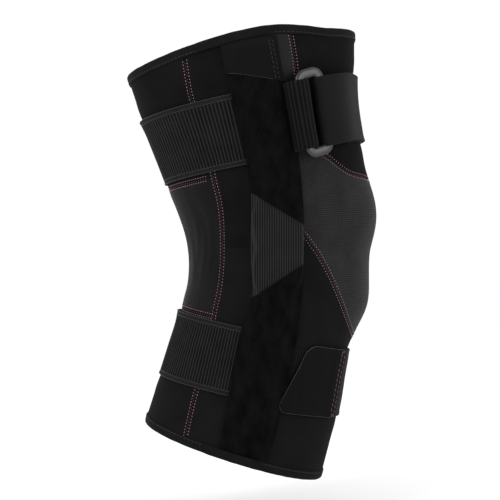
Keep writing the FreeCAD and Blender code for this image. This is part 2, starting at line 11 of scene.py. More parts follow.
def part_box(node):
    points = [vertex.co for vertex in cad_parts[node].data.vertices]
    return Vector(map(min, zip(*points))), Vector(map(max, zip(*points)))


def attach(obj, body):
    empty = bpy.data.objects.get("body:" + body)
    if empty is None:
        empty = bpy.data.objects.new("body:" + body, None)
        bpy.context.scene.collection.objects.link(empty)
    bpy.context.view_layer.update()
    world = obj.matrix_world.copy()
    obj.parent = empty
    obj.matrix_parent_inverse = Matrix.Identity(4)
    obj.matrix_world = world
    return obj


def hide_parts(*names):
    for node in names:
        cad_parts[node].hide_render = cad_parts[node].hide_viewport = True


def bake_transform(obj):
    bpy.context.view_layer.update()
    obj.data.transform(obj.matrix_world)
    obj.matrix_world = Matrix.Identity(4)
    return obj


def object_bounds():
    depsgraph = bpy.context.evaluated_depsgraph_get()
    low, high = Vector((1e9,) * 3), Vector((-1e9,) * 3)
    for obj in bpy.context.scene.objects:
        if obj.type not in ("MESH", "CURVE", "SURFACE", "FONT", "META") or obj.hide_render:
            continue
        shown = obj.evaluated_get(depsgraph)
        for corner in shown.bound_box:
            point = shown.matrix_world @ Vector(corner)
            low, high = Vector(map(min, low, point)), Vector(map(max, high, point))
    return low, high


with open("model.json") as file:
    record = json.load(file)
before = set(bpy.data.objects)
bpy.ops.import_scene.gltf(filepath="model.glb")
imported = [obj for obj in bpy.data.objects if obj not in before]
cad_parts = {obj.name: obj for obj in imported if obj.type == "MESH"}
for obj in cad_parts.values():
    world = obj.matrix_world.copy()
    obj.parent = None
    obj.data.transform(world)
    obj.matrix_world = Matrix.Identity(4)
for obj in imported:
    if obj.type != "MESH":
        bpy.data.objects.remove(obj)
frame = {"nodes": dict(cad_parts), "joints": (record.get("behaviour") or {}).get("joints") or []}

# Looks of the hinged knee brace. Metres; +X front, -Y lateral, +Y medial, +Z up, origin at the knee centre.
# Everything soft is laid out on one map of the leg: an angle round it (0 front, 90 lateral, 180 back,
# -90 medial) and a station along it (0 at the knee, up the thigh positive, down the calf negative).

cad_low, cad_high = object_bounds()
MM = 0.001
JOINTS = {joint["name"]: joint for joint in frame["joints"]}

# ------------------------------------------------------------------ reading the frame


def node_points(*names):
    return np.array([v.co for name in names for v in frame["nodes"][name].data.vertices], float)


def upward(node):
    """Normal of the flat upper edge of a strap, which is square to its half of the leg."""
    return np.array(max((p.normal for p in frame["nodes"][node].data.polygons), key=lambda n: n.z), float)


THIGH_UP = upward("thigh_back_strap")
CALF_UP = upward("calf_back_strap")
THIGH_TILT = math.atan2(-THIGH_UP[0], THIGH_UP[2])
CALF_TILT = math.atan2(CALF_UP[0], CALF_UP[2])
PIVOT_HEIGHT = JOINTS["lateral_upper_pivot"]["pos_m"][2]
BAR_OUT = abs(JOINTS["lateral_upper_pivot"]["pos_m"][1])

SLEEVE_NODES = [
    "thigh_front_panel", "thigh_back_panel", "thigh_lateral_panel", "thigh_medial_panel",
    "patella_panel", "popliteal_panel", "lateral_knee_panel", "medial_knee_panel",
    "calf_front_panel", "calf_back_panel", "calf_lateral_panel", "calf_medial_panel",
    "top_binding", "bottom_binding",
]


def span(node, up):
    """Lowest and highest station of a CAD node along the thigh or the calf."""
    along = node_points(node) @ up
    return along.min(), along.max()


TOP_RIM = span("top_binding", THIGH_UP)[1]
BOTTOM_RIM = -0.1597
THICK = 0.004

# ------------------------------------------------------------------ map of the leg

BEND_ZONE = 0.050


def smooth(t):
    t = np.clip(t, 0.0, 1.0)
    return t * t * (3.0 - 2.0 * t)


def tilt(s):
    """Tilt of the cross section at a station, in radians; positive rises to the front."""
    s = np.asarray(s, float)
    return np.where(s > 0, THIGH_TILT * smooth(s / BEND_ZONE), -CALF_TILT * smooth(-s / BEND_ZONE))


LINE_STEP = 0.0005
LINE_S = np.arange(-0.240, 0.2401, LINE_STEP)
LINE_X = np.cumsum(-np.sin(tilt(LINE_S))) * LINE_STEP
LINE_Z = np.cumsum(np.cos(tilt(LINE_S))) * LINE_STEP
LINE_X -= np.interp(0.0, LINE_S, LINE_X)
LINE_Z -= np.interp(0.0, LINE_S, LINE_Z)


def centre(s):
    return np.interp(s, LINE_S, LINE_X), np.interp(s, LINE_S, LINE_Z)


def rays(u, s):
    """Origin and outward direction of the ray at an angle and a station."""
    x, z = centre(s)
    lean = tilt(s)
    origin = np.stack(np.broadcast_arrays(x, np.zeros_like(x), z), -1)
    out = np.stack(
        np.broadcast_arrays(np.cos(u) * np.cos(lean), -np.sin(u), np.cos(u) * np.sin(lean)), -1
    )
    return origin, out


def tree_of(names):
    points, faces = [], []
    for name in names:
        mesh = frame["nodes"][name].data
        base = len(points)
        points.extend(v.co.copy() for v in mesh.vertices)
        faces.extend([base + i for i in p.vertices] for p in mesh.polygons)
    return BVHTree.FromPolygons(points, faces)


MAP_ANGLES = np.radians(np.arange(1.7, 361.7, 5.0))
MAP_STATIONS = np.arange(-0.168, 0.1561, 0.004)
FAR = 0.25


def measured_radii():
    """How far out the CAD sleeve lies, from rays cast inward at it."""
    tree = tree_of(SLEEVE_NODES)
    found = np.full((len(MAP_STATIONS), len(MAP_ANGLES)), np.nan)
    for i, s in enumerate(MAP_STATIONS):
        for j, u in enumerate(MAP_ANGLES):
            origin, out = rays(np.array(u), np.array(s))
            hit = tree.ray_cast(Vector(origin + out * FAR), Vector(-out), FAR)
            if hit[0] is not None and FAR - hit[3] > 0.045:
                found[i, j] = FAR - hit[3]
    return found


def filled_along(column):
    """Gaps filled in, and the ends carried on at the slope of the last stretch."""
    known = np.flatnonzero(~np.isnan(column))
    first, last = known[0], known[-1]
    values = np.interp(np.arange(len(column)), known, column[known])
    reach = 4
    low_slope = (values[first + reach] - values[first]) / reach
    high_slope = (values[last] - values[last - reach]) / reach
    index = np.arange(len(column))
    values = np.where(index < first, values[first] + (index - first) * low_slope, values)
    return np.where(index > last, values[last] + (index - last) * high_slope, values)


def leg_table():
    """Radius at every degree and every millimetre, smoothed round and along the leg."""
    radii = np.apply_along_axis(filled_along, 0, measured_radii())
    bins = np.fft.rfft(radii, axis=1) / radii.shape[1]
    harmonics = np.arange(8)
    angles = np.radians(np.arange(361.0)) - MAP_ANGLES[0]
    waves = np.exp(1j * np.outer(harmonics, angles))
    waves[1:] *= 2.0
    dense = np.real(bins[:, :8] @ waves)
    stations = np.arange(-0.190, 0.1801, 0.001)
    columns = []
    for column in dense.T:
        slope_low = (column[3] - column[0]) / (MAP_STATIONS[3] - MAP_STATIONS[0])
        slope_high = (column[-1] - column[-4]) / (MAP_STATIONS[-1] - MAP_STATIONS[-4])
        value = np.interp(stations, MAP_STATIONS, column)
        value += np.minimum(stations - MAP_STATIONS[0], 0) * slope_low
        value += np.maximum(stations - MAP_STATIONS[-1], 0) * slope_high
        columns.append(value)
    table = np.array(columns).T
    kernel = np.hanning(21)
    kernel /= kernel.sum()
    padded = np.pad(table, ((10, 10), (0, 0)), mode="reflect", reflect_type="odd")
    return stations, np.apply_along_axis(lambda c: np.convolve(c, kernel, "valid"), 0, padded)


TABLE_S, TABLE_R = leg_table()


def radius(u, s):
    turn = np.mod(np.degrees(u), 360.0)
    step = (np.clip(s, TABLE_S[0], TABLE_S[-1]) - TABLE_S[0]) / MM
    i = np.minimum(step.astype(int), len(TABLE_S) - 2)
    j = np.minimum(turn.astype(int), 359)
    fi, fj = step - i, turn - j
    low = TABLE_R[i, j] * (1 - fj) + TABLE_R[i, j + 1] * fj
    high = TABLE_R[i + 1, j] * (1 - fj) + TABLE_R[i + 1, j + 1] * fj
    return low * (1 - fi) + high * fi


# Swells and hollows of the worn sleeve: angle and station (degrees, mm), height, reach round, reach along.
SWELLS = [
    (0, 24, 3.6, 42, 17),
    (0, -3, -2.2, 45, 14),
    (0, -33, 3.8, 34, 13),
    (0, -62, -1.6, 40, 10),
    (0, -104, 1.9, 45, 22),
    (180, 2, 0.8, 40, 26),
    (150, 20, -0.7, 14, 30),
    (-150, 20, -0.7, 14, 30),
]


def turn_from(u, degrees):
    """Signed difference between angles, in degrees."""
    return np.mod(np.degrees(u) - degrees + 180.0, 360.0) - 180.0


# Stretches of the leg that a strap pulls in: lowest and highest station, first and last angle in degrees.
BACK_HALF = 72.0
SQUEEZED = [
    (*span("thigh_back_strap", THIGH_UP), 180.0, BACK_HALF),
    (*span("calf_back_strap", CALF_UP), 180.0, BACK_HALF),
    (*span("thigh_front_strap", THIGH_UP), 0.0, 66.0),
    (*span("calf_front_strap", CALF_UP), 0.0, 60.0),
]


def relief(u, s):
    """Height of the worn sleeve above its plain shape."""
    height = np.zeros(np.broadcast(u, s).shape)
    for angle, station, rise, round_reach, along_reach in SWELLS:
        around = turn_from(u, angle) / round_reach
        along = (s / MM - station) / along_reach
        height += rise * MM * np.exp(-(around ** 2) - along ** 2)
    for low, high, middle, half in SQUEEZED:
        inside = smooth((s - low + 0.004) / 0.008) * smooth((high + 0.004 - s) / 0.008)
        beside = np.exp(-(((s - low + 0.010) / 0.006) ** 2)) + np.exp(-(((s - high - 0.010) / 0.006) ** 2))
        reach = smooth((half - np.abs(turn_from(u, middle))) / 12.0)
        height += reach * (0.35 * MM * beside - 0.9 * MM * inside)
    slow = 0.35 * MM * np.sin(3 * u + 40 * s) * np.sin(2 * u - 55 * s + 1.1)
    return height + slow


def on_leg(u, s, lift=0.0):
    """Points at an angle (radians), a station and a height above the sleeve's outer face."""
    u, s, lift = np.broadcast_arrays(np.asarray(u, float), np.asarray(s, float), np.asarray(lift, float))
    origin, out = rays(u, s)
    return origin + out * (radius(u, s) + relief(u, s) + lift)[..., None]


# ------------------------------------------------------------------ outlines on the map, in degrees and mm


def through(points, at):
    """A smooth curve through a few (place, value) points."""
    place = np.array([p[0] for p in points], float)
    value = np.array([p[1] for p in points], float)
    slope = np.gradient(value, place)
    at = np.clip(at, place[0], place[-1])
    i = np.clip(np.searchsorted(place, at, side="right") - 1, 0, len(place) - 2)
    gap = place[i + 1] - place[i]
    t = (at - place[i]) / gap
    return (
        (1 + 2 * t) * (1 - t) ** 2 * value[i]
        + t * (1 - t) ** 2 * gap * slope[i]
        + t * t * (3 - 2 * t) * value[i + 1]
        + t * t * (t - 1) * gap * slope[i + 1]
    )


PATELLA_HALF = 75.0
PATELLA_TOP = [(0, 40), (18, 42), (36, 47), (51, 60), (63, 69), (75, 72)]
PATELLA_BOTTOM = [(0, -57), (21, -50), (38, -36), (52, -19), (66, 1), (75, 13)]
FRONT_SEAM = 65.0
BACK_SEAM = [(-175, 131.5), (-100, 131), (-30, 132), (10, 131), (50, 128), (100, 127), (165, 124.5)]
RIM_RISE = [(0, -1.0), (25, -2.0), (42, -1.8), (58, 1.4), (72, 3.8), (92, 3.7), (120, 0.9), (150, -2.4),
            (180, -3.2)]
RIM_DROP = math.tan(math.radians(6.0))


def patella_top(u):
    return through(PATELLA_TOP, np.abs(np.degrees(u))) * MM


def patella_bottom(u):
    return through(PATELLA_BOTTOM, np.abs(np.degrees(u))) * MM


def back_seam(s):
    return np.radians(through(BACK_SEAM, s / MM))


def top_edge(u):
    """The top rim stands a little higher at the sides."""
    turn = np.abs(np.mod(np.degrees(u) + 180.0, 360.0) - 180.0)
    return TOP_RIM + through(RIM_RISE, turn) * MM


def bottom_edge(u):
    """The bottom rim drops towards the front."""
    return BOTTOM_RIM - radius(u, np.full(np.shape(u), BOTTOM_RIM)) * np.cos(u) * RIM_DROP


# ------------------------------------------------------------------ mesh building


# Distances of the close lines beside an edge, and radii that turn an angle into a length of cloth.
RIMS = (0.0003, 0.0008, 0.0016)
FINE_RIMS = (0.0002, 0.0005, 0.0009)
POCKET_RIMS = (0.0002, 0.0005, 0.0010)
MAP_REACH = 0.070
RIM_REACH = 0.075
BACK_REACH = 0.078
CALF_REACH = 0.064
TAB_REACH = 0.062


def steps(length, cell, rims=RIMS):
    """Shares from 0 to 1: even cells, and a few close lines beside both ends."""
    near = np.array(rims) / length
    near = near[near < 0.3]
    even = np.linspace(0, 1, max(2, int(round(length / cell))) + 1)
    clear = near[-1] * 1.5 if len(near) else 0.0
    even = even[(even > clear) & (even < 1 - clear)]
    return np.concatenate([[0.0], near, even, 1 - near[::-1], [1.0]])


def new_object(name, mesh):
    obj = bpy.data.objects.new(name, mesh)
    bpy.context.scene.collection.objects.link(obj)
    return obj


def finish_mesh(name, points, faces, uvs, material, sharp=38.0):
    """A smooth-shaded object from points, faces and one UV pair (in metres) for each point."""
    mesh = bpy.data.meshes.new(name)
    mesh.from_pydata([tuple(p) for p in points], [], [tuple(f) for f in faces])
    layer = mesh.uv_layers.new(name="UVMap")
    corner = np.zeros(len(mesh.loops), np.int32)
    mesh.loops.foreach_get("vertex_index", corner)
    layer.data.foreach_set("uv", np.asarray(uvs, np.float32)[corner].ravel())
    work = bmesh.new()
    work.from_mesh(mesh)
    bmesh.ops.recalc_face_normals(work, faces=work.faces)
    work.to_mesh(mesh)
    work.free()
    mesh.shade_smooth()
    mesh.set_sharp_from_angle(angle=math.radians(sharp))
    mesh.materials.append(material)
    return new_object(name, mesh)


def grid_faces(rows, columns, base=0, wrap=False, closed=False):
    """Quads of a grid of points; wrap joins its last column to its first, and closed its rows likewise."""
    faces = []
    for i in range(rows if closed else rows - 1):
        a, b = base + i * columns, base + (i + 1) % rows * columns
        for j in range(columns if wrap else columns - 1):
            k = (j + 1) % columns
            faces.append((a + j, a + k, b + k, b + j))
    return faces


def slab(name, outer, inner, uv, material, sharp=38.0):
    """A closed sheet: an outer grid, an inner grid, and walls between their edges."""
    rows, columns = outer.shape[:2]
    count = rows * columns
    faces = grid_faces(rows, columns) + grid_faces(rows, columns, count)
    edge = (
        [(0, j) for j in range(columns)]
        + [(i, columns - 1) for i in range(1, rows)]
        + [(rows - 1, j) for j in range(columns - 2, -1, -1)]
        + [(i, 0) for i in range(rows - 2, 0, -1)]
    )
    ring = [i * columns + j for i, j in edge]
    for here, there in zip(ring, ring[1:] + ring[:1]):
        faces.append((here, there, there + count, here + count))
    points = np.concatenate([outer.reshape(-1, 3), inner.reshape(-1, 3)])
    return finish_mesh(name, points, faces, np.concatenate([uv.reshape(-1, 2)] * 2), material, sharp)


def sides_of(p, q, width, height):
    """Distance of each point of a patch from its borders; p and q are shares of its width and height."""
    return {"first": p * width, "last": (1 - p) * width, "low": q * height, "high": (1 - q) * height}


def as_border(value, convert):
    """A border as a function of the place along it."""
    return value if callable(value) else lambda at: np.full(np.shape(at), convert(value))


def leg_patch(u_low, u_high, s_low, s_high, cell=0.0025, cell_round=None, rims=RIMS):
    """A grid between two angle borders (degrees, functions of station or numbers) and two station borders.

    Returns angles, stations, the distance from each side in metres, and a UV map in metres.
    """
    low_of, high_of = as_border(u_low, math.radians), as_border(u_high, math.radians)
    s_low_of, s_high_of = as_border(s_low, float), as_border(s_high, float)
    guess_u = np.array([0.5 * (low_of(np.array(0.0)) + high_of(np.array(0.0)))])
    height = float(np.max(s_high_of(guess_u) - s_low_of(guess_u)))
    middle = np.array(0.5 * (s_high_of(guess_u) + s_low_of(guess_u)))
    width = float(np.max(high_of(middle) - low_of(middle))) * MAP_REACH
    p = steps(width, cell_round or cell, rims)
    q = steps(max(height, 0.004), cell, rims)
    grid_p, grid_q = np.meshgrid(p, q)
    u = np.full(grid_p.shape, float(guess_u[0]))
    s = np.zeros(grid_p.shape)
    for _ in range(4):
        s = s_low_of(u) + (s_high_of(u) - s_low_of(u)) * grid_q
        u = low_of(s) + (high_of(s) - low_of(s)) * grid_p
    sides = sides_of(grid_p, grid_q, width, s_high_of(u) - s_low_of(u))
    return u, s, sides, np.stack([u * MAP_REACH, s], -1)


def rounded(near, reach=0.0009):
    """Share of the full thickness at a distance from a rounded edge."""
    return np.sqrt(np.clip(1 - (1 - np.clip(near / reach, 0, 1)) ** 2, 0, 1))


def nearest_side(sides, leave_out=()):
    kept = [value for name, value in sides.items() if name not in leave_out]
    return np.minimum.reduce(kept) if kept else np.full(sides["low"].shape, 1.0)


# ------------------------------------------------------------------ baking pieces in place


def bend(obj, upper):
    """Bakes a piece's transform into its mesh; upper and lower pieces are handled alike."""
    if upper:
        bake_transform(obj)
    else:
        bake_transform(obj)
    points = np.zeros(len(obj.data.vertices) * 3)
    obj.data.vertices.foreach_get("co", points)
    return obj


def sew(obj, nodes, upper):
    """A piece that stands for one or more CAD nodes: hides those nodes and bakes the piece's transform."""
    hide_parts(*nodes)
    return bend(obj, upper)


# ------------------------------------------------------------------ materials


def fabric(name, colour, roughness, specular=0.12, sheen=0.0, sheen_roughness=0.5):
    """A principled material; patterns are added to it by the functions below."""
    made = bpy.data.materials.new(name)
    made.use_nodes = True
    inputs = made.node_tree.nodes["Principled BSDF"].inputs
    inputs["Base Color"].default_value = (*colour, 1)
    inputs["Roughness"].default_value = roughness
    inputs["Specular IOR Level"].default_value = specular
    inputs["Sheen Weight"].default_value = sheen
    inputs["Sheen Roughness"].default_value = sheen_roughness
    return made


class Paint:
    """Adds a pattern's nodes to a material; coordinates are the UV map or the object's own, in mm."""

    def __init__(self, material, mapped=True):
        self.tree = material.node_tree
        self.shader = self.tree.nodes["Principled BSDF"]
        source = self.node("UVMap", uv_map="UVMap") if mapped else self.node("TexCoord")
        place = source.outputs["UV" if mapped else "Object"]
        self.coords = self.node("VectorMath", (0, place), ("Scale", 1.0 / MM), operation="SCALE").outputs[0]

    def node(self, kind, *inputs, **settings):
        """A new node; inputs are pairs of a name or number and the socket or value that goes in there."""
        made = self.tree.nodes.new("ShaderNode" + kind)
        for name, value in settings.items():
            setattr(made, name, value)
        for place, value in inputs:
            if isinstance(value, bpy.types.NodeSocket):
                self.tree.links.new(value, made.inputs[place])
            else:
                made.inputs[place].default_value = value
        return made

    def math(self, operation, *values):
        return self.node("Math", *enumerate(values), operation=operation).outputs[0]

    def axis(self, which):
        return self.node("SeparateXYZ", (0, self.coords)).outputs[which]

    def noise(self, size, detail=2.0, stretch=None):
        """Noise between 0 and 1 whose spots are about size millimetres across."""
        coords = self.coords
        if stretch:
            coords = self.node("VectorMath", (0, coords), (1, stretch), operation="MULTIPLY").outputs[0]
        inputs = ("Scale", 1.0 / size), ("Detail", detail), ("Vector", coords)
        return self.node("TexNoise", *inputs).outputs["Fac"]

    def wave(self, value, pitch, phase=0.0):
        """A sine between -1 and 1 along a coordinate."""
        return self.math("SINE", self.math("MULTIPLY_ADD", value, 2 * math.pi / pitch, phase))

    def feed(self, name, socket):
        self.tree.links.new(socket, self.shader.inputs[name])

    def colour(self, factor, dark, light, low=0.0, high=1.0):
        ramp = self.node("ValToRGB", (0, factor))
        for stop, place, tone in zip(ramp.color_ramp.elements, (low, high), (dark, light)):
            stop.position = place
            stop.color = (*tone, 1)
        self.feed("Base Color", ramp.outputs[0])

    def roughness(self, factor, low, high):
        spread = self.node("MapRange", (0, factor), ("To Min", low), ("To Max", high))
        self.feed("Roughness", spread.outputs[0])

    def bump(self, height, depth_mm):
        self.feed("Normal", self.node("Bump", ("Height", height), ("Distance", depth_mm * MM)).outputs[0])


def shade(level):
    """A near-black of a given level, very slightly cool."""
    return (level, level, level * 1.04)


def add(paint, *weighted):
    """Sum of (socket, weight) pairs."""
    total = None
    for socket, weight in weighted:
        term = paint.math("MULTIPLY", socket, weight)
        total = term if total is None else paint.math("ADD", total, term)
    return total


def cloth(name, level, spread, grain_mm, cloud_mm, roughness=0.85, specular=0.05, sheen=0.03, bump_mm=0.10,
          weave=None, cloud_stretch=None):
    """A knit or woven cloth: fine grain and slow clouds of tone round one level, and a bump of that grain."""
    made = fabric(name, shade(level), roughness, specular, sheen, 0.4)
    paint = Paint(made)
    fuzz = paint.noise(grain_mm, 3.0)
    cloud = paint.noise(cloud_mm, 3.0, cloud_stretch)
    grain = fuzz
    if weave:
        wales, courses = (paint.wave(paint.axis(axis), weave[axis]) for axis in (0, 1))
        knit = paint.math("MULTIPLY", wales, courses)
        grain = add(paint, (knit, 0.25), (fuzz, 1.0))
    tone = add(paint, (cloud, 0.5), (grain, 0.5))
    paint.colour(tone, shade(level * (1 - spread)), shade(level * (1 + spread)), 0.28, 0.72)
    paint.roughness(cloud, roughness - 0.08, min(roughness + 0.08, 1.0))
    paint.bump(grain, bump_mm)
    return made


def mesh_material(level_low, level_high):
    """Open woven mesh over the kneecap: offset rows of small round holes."""
    made = fabric("patella_mesh", shade(level_high), 0.8, 0.06, 0.08, 0.4)
    paint = Paint(made)
    across, along = paint.axis(0), paint.axis(1)
    pitch = 2.5
    rising = paint.wave(paint.math("ADD", across, along), pitch)
    falling = paint.wave(paint.math("SUBTRACT", across, along), pitch)
    weave = paint.math("MULTIPLY", rising, falling)
    thread = add(paint, (weave, 0.5), (paint.noise(0.4, 2.0), 0.35))
    cloud = paint.noise(20.0, 3.0)
    tone = add(paint, (thread, 0.55), (cloud, 0.5))
    paint.colour(tone, shade(level_low), shade(level_high), 0.05, 0.62)
    paint.roughness(cloud, 0.7, 0.9)
    paint.bump(thread, 0.22)
    return made


def ribbed_material(name, pitch_mm, low, high, sharpness=1.6):
    """Ribbed elastic webbing: painted highlight on the crests and painted shade in the valleys, which follow
    the modelled ribs, mixed with real clouds and grain of tone.
    """
    made = fabric(name, shade(high), 0.75, 0.06, 0.04, 0.4)
    paint = Paint(made)
    # Painted light: rib crests are coloured lighter as if lit and valleys darker as if in shade.
    painted_rib_light = paint.math("MULTIPLY_ADD", paint.wave(paint.axis(0), pitch_mm, -math.pi / 2), 0.5, 0.5)
    painted_rib_light = paint.math("POWER", painted_rib_light, sharpness)
    yarn = paint.wave(paint.axis(1), 0.8)
    fuzz = paint.noise(0.5, 3.0)
    cloud = paint.noise(14.0, 2.0)
    grain = add(paint, (yarn, 0.2), (fuzz, 0.8))
    tone = add(paint, (painted_rib_light, 0.75), (cloud, 0.25), (grain, 0.22))
    paint.colour(tone, shade(low), shade(high), 0.15, 1.0)
    paint.roughness(fuzz, 0.66, 0.84)
    paint.bump(grain, 0.12)
    return made


def stretch_material(name, low, high, specular, sheen):
    """Thin smooth stretch knit with a soft sheen and fine lengthwise lines."""
    made = fabric(name, shade(high), 0.5, specular, sheen, 0.35)
    paint = Paint(made)
    lines = paint.wave(paint.axis(0), 0.6)
    cloud = paint.noise(14.0, 4.0, (1.0, 0.35, 1.0))
    fuzz = paint.noise(0.35, 2.0)
    tone = add(paint, (cloud, 1.0), (lines, 0.10), (fuzz, 0.15))
    paint.colour(tone, shade(low), shade(high), 0.3, 0.85)
    paint.roughness(cloud, 0.42, 0.6)
    paint.bump(add(paint, (lines, 0.5), (fuzz, 1.0)), 0.06)
    return made


def thread_material(name, dark, light):
    made = fabric(name, light, 0.6, 0.15, 0.05, 0.4)
    paint = Paint(made)
    twist = paint.noise(0.7, 2.0)
    paint.colour(twist, dark, light, 0.3, 0.7)
    paint.roughness(twist, 0.5, 0.7)
    paint.bump(twist, 0.05)
    return made


def hard_material(name, colour, roughness, metallic=0.0, specular=0.5, wear=0.06, size=3.0, depth=0.02):
    """Moulded plastic or metal with a faint mottle in its gloss and surface."""
    made = fabric(name, colour, roughness, specular)
    paint = Paint(made, mapped=False)
    paint.shader.inputs["Metallic"].default_value = metallic
    mottle = paint.noise(size, 3.0)
    paint.roughness(mottle, max(roughness - wear, 0.03), roughness + wear)
    paint.bump(mottle, depth)
    paint.colour(mottle, [c * 0.85 for c in colour], [min(c * 1.12, 1) for c in colour])
    return made


RIB_PITCH = 0.0029
FINE_PITCH = 0.00172
LOOP_PITCH = 0.0023
NEOPRENE = cloth("neoprene", 0.0043, 0.55, 0.8, 22.0, 0.85, 0.03, 0.01, weave=(0.9, 0.7))
CALF_NEOPRENE = cloth("calf_neoprene", 0.0054, 0.35, 0.5, 22.0, 0.85, 0.03, 0.01, weave=(0.9, 0.7))
MESH = mesh_material(0.0036, 0.0225)
STRETCH = stretch_material("stretch_knit", 0.0024, 0.0056, 0.05, 0.01)
SHINY = stretch_material("shiny_knit", 0.0019, 0.0054, 0.13, 0.02)
LOOP = cloth("loop_pile", 0.0027, 1.20, 0.9, 9.0, 1.0, 0.015, 0.01, 0.35, cloud_stretch=(1.0, 0.5, 1.0))
# In the ribbed materials, the low level is painted valley shade and the high level is painted crest highlight.
RIBBED = ribbed_material("ribbed_elastic", RIB_PITCH / MM, 0.0010, 0.0190, 6.0)
LOOP_RIBBED = ribbed_material("loop_elastic", LOOP_PITCH / MM, 0.0003, 0.0075, 2.2)
FINE_RIBBED = ribbed_material("fine_ribbed_elastic", FINE_PITCH / MM, 0.0024, 0.0180, 2.2)
SELVEDGE = cloth("webbing_border", 0.0088, 0.45, 0.5, 12.0, 0.8, 0.04, 0.02)
STRAP = cloth("strap_fabric", 0.0058, 0.22, 0.5, 20.0, 0.72, 0.05, 0.02, 0.08, weave=(0.6, 0.6))
TAB = cloth("hook_tab", 0.0036, 0.25, 0.5, 20.0, 0.78, 0.04, 0.01, 0.08, weave=(0.6, 0.6))
BINDING = cloth("binding_tape", 0.0054, 0.45, 0.6, 10.0, 0.8, 0.04, 0.01, 0.12, weave=(0.8, 0.8))
LINING = cloth("lining", 0.0100, 0.30, 0.6, 18.0, 0.8, 0.05, 0.03, 0.10, weave=(1.1, 0.8))
PINK = thread_material("pink_thread", (0.018, 0.0035, 0.0060), (0.110, 0.026, 0.040))
PALE = thread_material("pale_thread", (0.060, 0.032, 0.038), (0.300, 0.190, 0.205))
TAB_THREAD = thread_material("tab_thread", (0.030, 0.011, 0.014), (0.170, 0.085, 0.095))
GREY = thread_material("grey_thread", (0.008, 0.008, 0.008), (0.040, 0.040, 0.042))
LINE = thread_material("webbing_line", (0.006, 0.006, 0.0065), (0.022, 0.022, 0.0235))
CUT_EDGE = thread_material("cut_edge", (0.016, 0.016, 0.017), (0.050, 0.050, 0.052))
GLOSS = hard_material("ring_gloss", (0.008, 0.008, 0.008), 0.34, specular=0.45, wear=0.04)
STEEL = hard_material("hinge_steel", (0.45, 0.45, 0.47), 0.34, metallic=1.0)
BRIGHT = hard_material("rivet_steel", (0.60, 0.60, 0.62), 0.28, metallic=1.0)
NYLON = hard_material("washer_nylon", (0.70, 0.69, 0.65), 0.5)
FOAM = hard_material("pad_foam", (0.045, 0.045, 0.048), 0.9, specular=0.1, size=1.2, depth=0.2)
VINYL = hard_material("cap_vinyl", (0.03, 0.03, 0.03), 0.45)

# ------------------------------------------------------------------ sleeve panels

GROOVE = 0.0009


def sleeve_panel(name, nodes, u_low, u_high, s_low, s_high, cloth_kind, upper, open_sides, shape=None,
                 cell=0.0025, top_groove_to=180.0):
    """One cut panel of the sleeve; its edges dip into the seams, except the open sides."""
    material, slot = cloth_kind
    u, s, sides, uv = leg_patch(u_low, u_high, s_low, s_high, cell)
    sides["high"] = np.where(np.abs(np.degrees(u)) > top_groove_to, 1.0, sides["high"])
    near = nearest_side(sides, open_sides)
    drop = GROOVE * (1 - smooth(near / 0.0018))
    folds = shape(u, s) if shape else 0.0
    outer = on_leg(u, s, -drop + folds)
    inner = on_leg(u, s, -THICK)
    obj = slab(name, outer, inner, uv, material)
    obj.data.materials.append(LINING)
    for polygon in obj.data.polygons:
        if min(polygon.vertices) >= u.size:
            polygon.material_index = 1
    sew(obj, nodes, upper)


def medial_back_seam(s):
    return -back_seam(s)


def far_back_seam(s):
    return 2 * math.pi - back_seam(s)


BAND_KEEP = 0.003


def under_top(u):
    return top_edge(u) - BAND_KEEP


def over_bottom(u):
    return bottom_edge(u) + BAND_KEEP


POP_HALF = 0.060

# Upright folds of the thin knit behind the knee: angle, station, height (mm), width round, reach along (mm).
KNIT_FOLDS = [
    (142, 6, 0.9, 2.2, 30),
    (148, -8, 0.7, 2.6, 26),
    (154, 14, 0.55, 3.2, 24),
    (163, -16, 0.5, 3.6, 22),
    (174, 6, 0.45, 4.0, 28),
    (-170, -10, 0.5, 3.8, 26),
    (-158, 10, 0.6, 3.0, 24),
    (-149, -4, 0.75, 2.4, 30),
    (-141, 8, 0.8, 2.2, 26),
]


def knit_folds(u, s):
    height = np.zeros(u.shape)
    for angle, station, rise, wide, reach in KNIT_FOLDS:
        wander = 2.0 * np.sin(s / 0.016 + angle)
        around = (turn_from(u, angle) - wander) / wide
        along = (s / MM - station) / reach
        height += rise * MM * np.exp(-(around ** 2) - along ** 2)
    return height


def upper_patella_low(u):
    return np.maximum(patella_bottom(u), 0.0)


def calf_front_top(u):
    return np.minimum(patella_bottom(u), 0.0)


def wing_top(u):
    return np.maximum(patella_bottom(u), 0.0004)


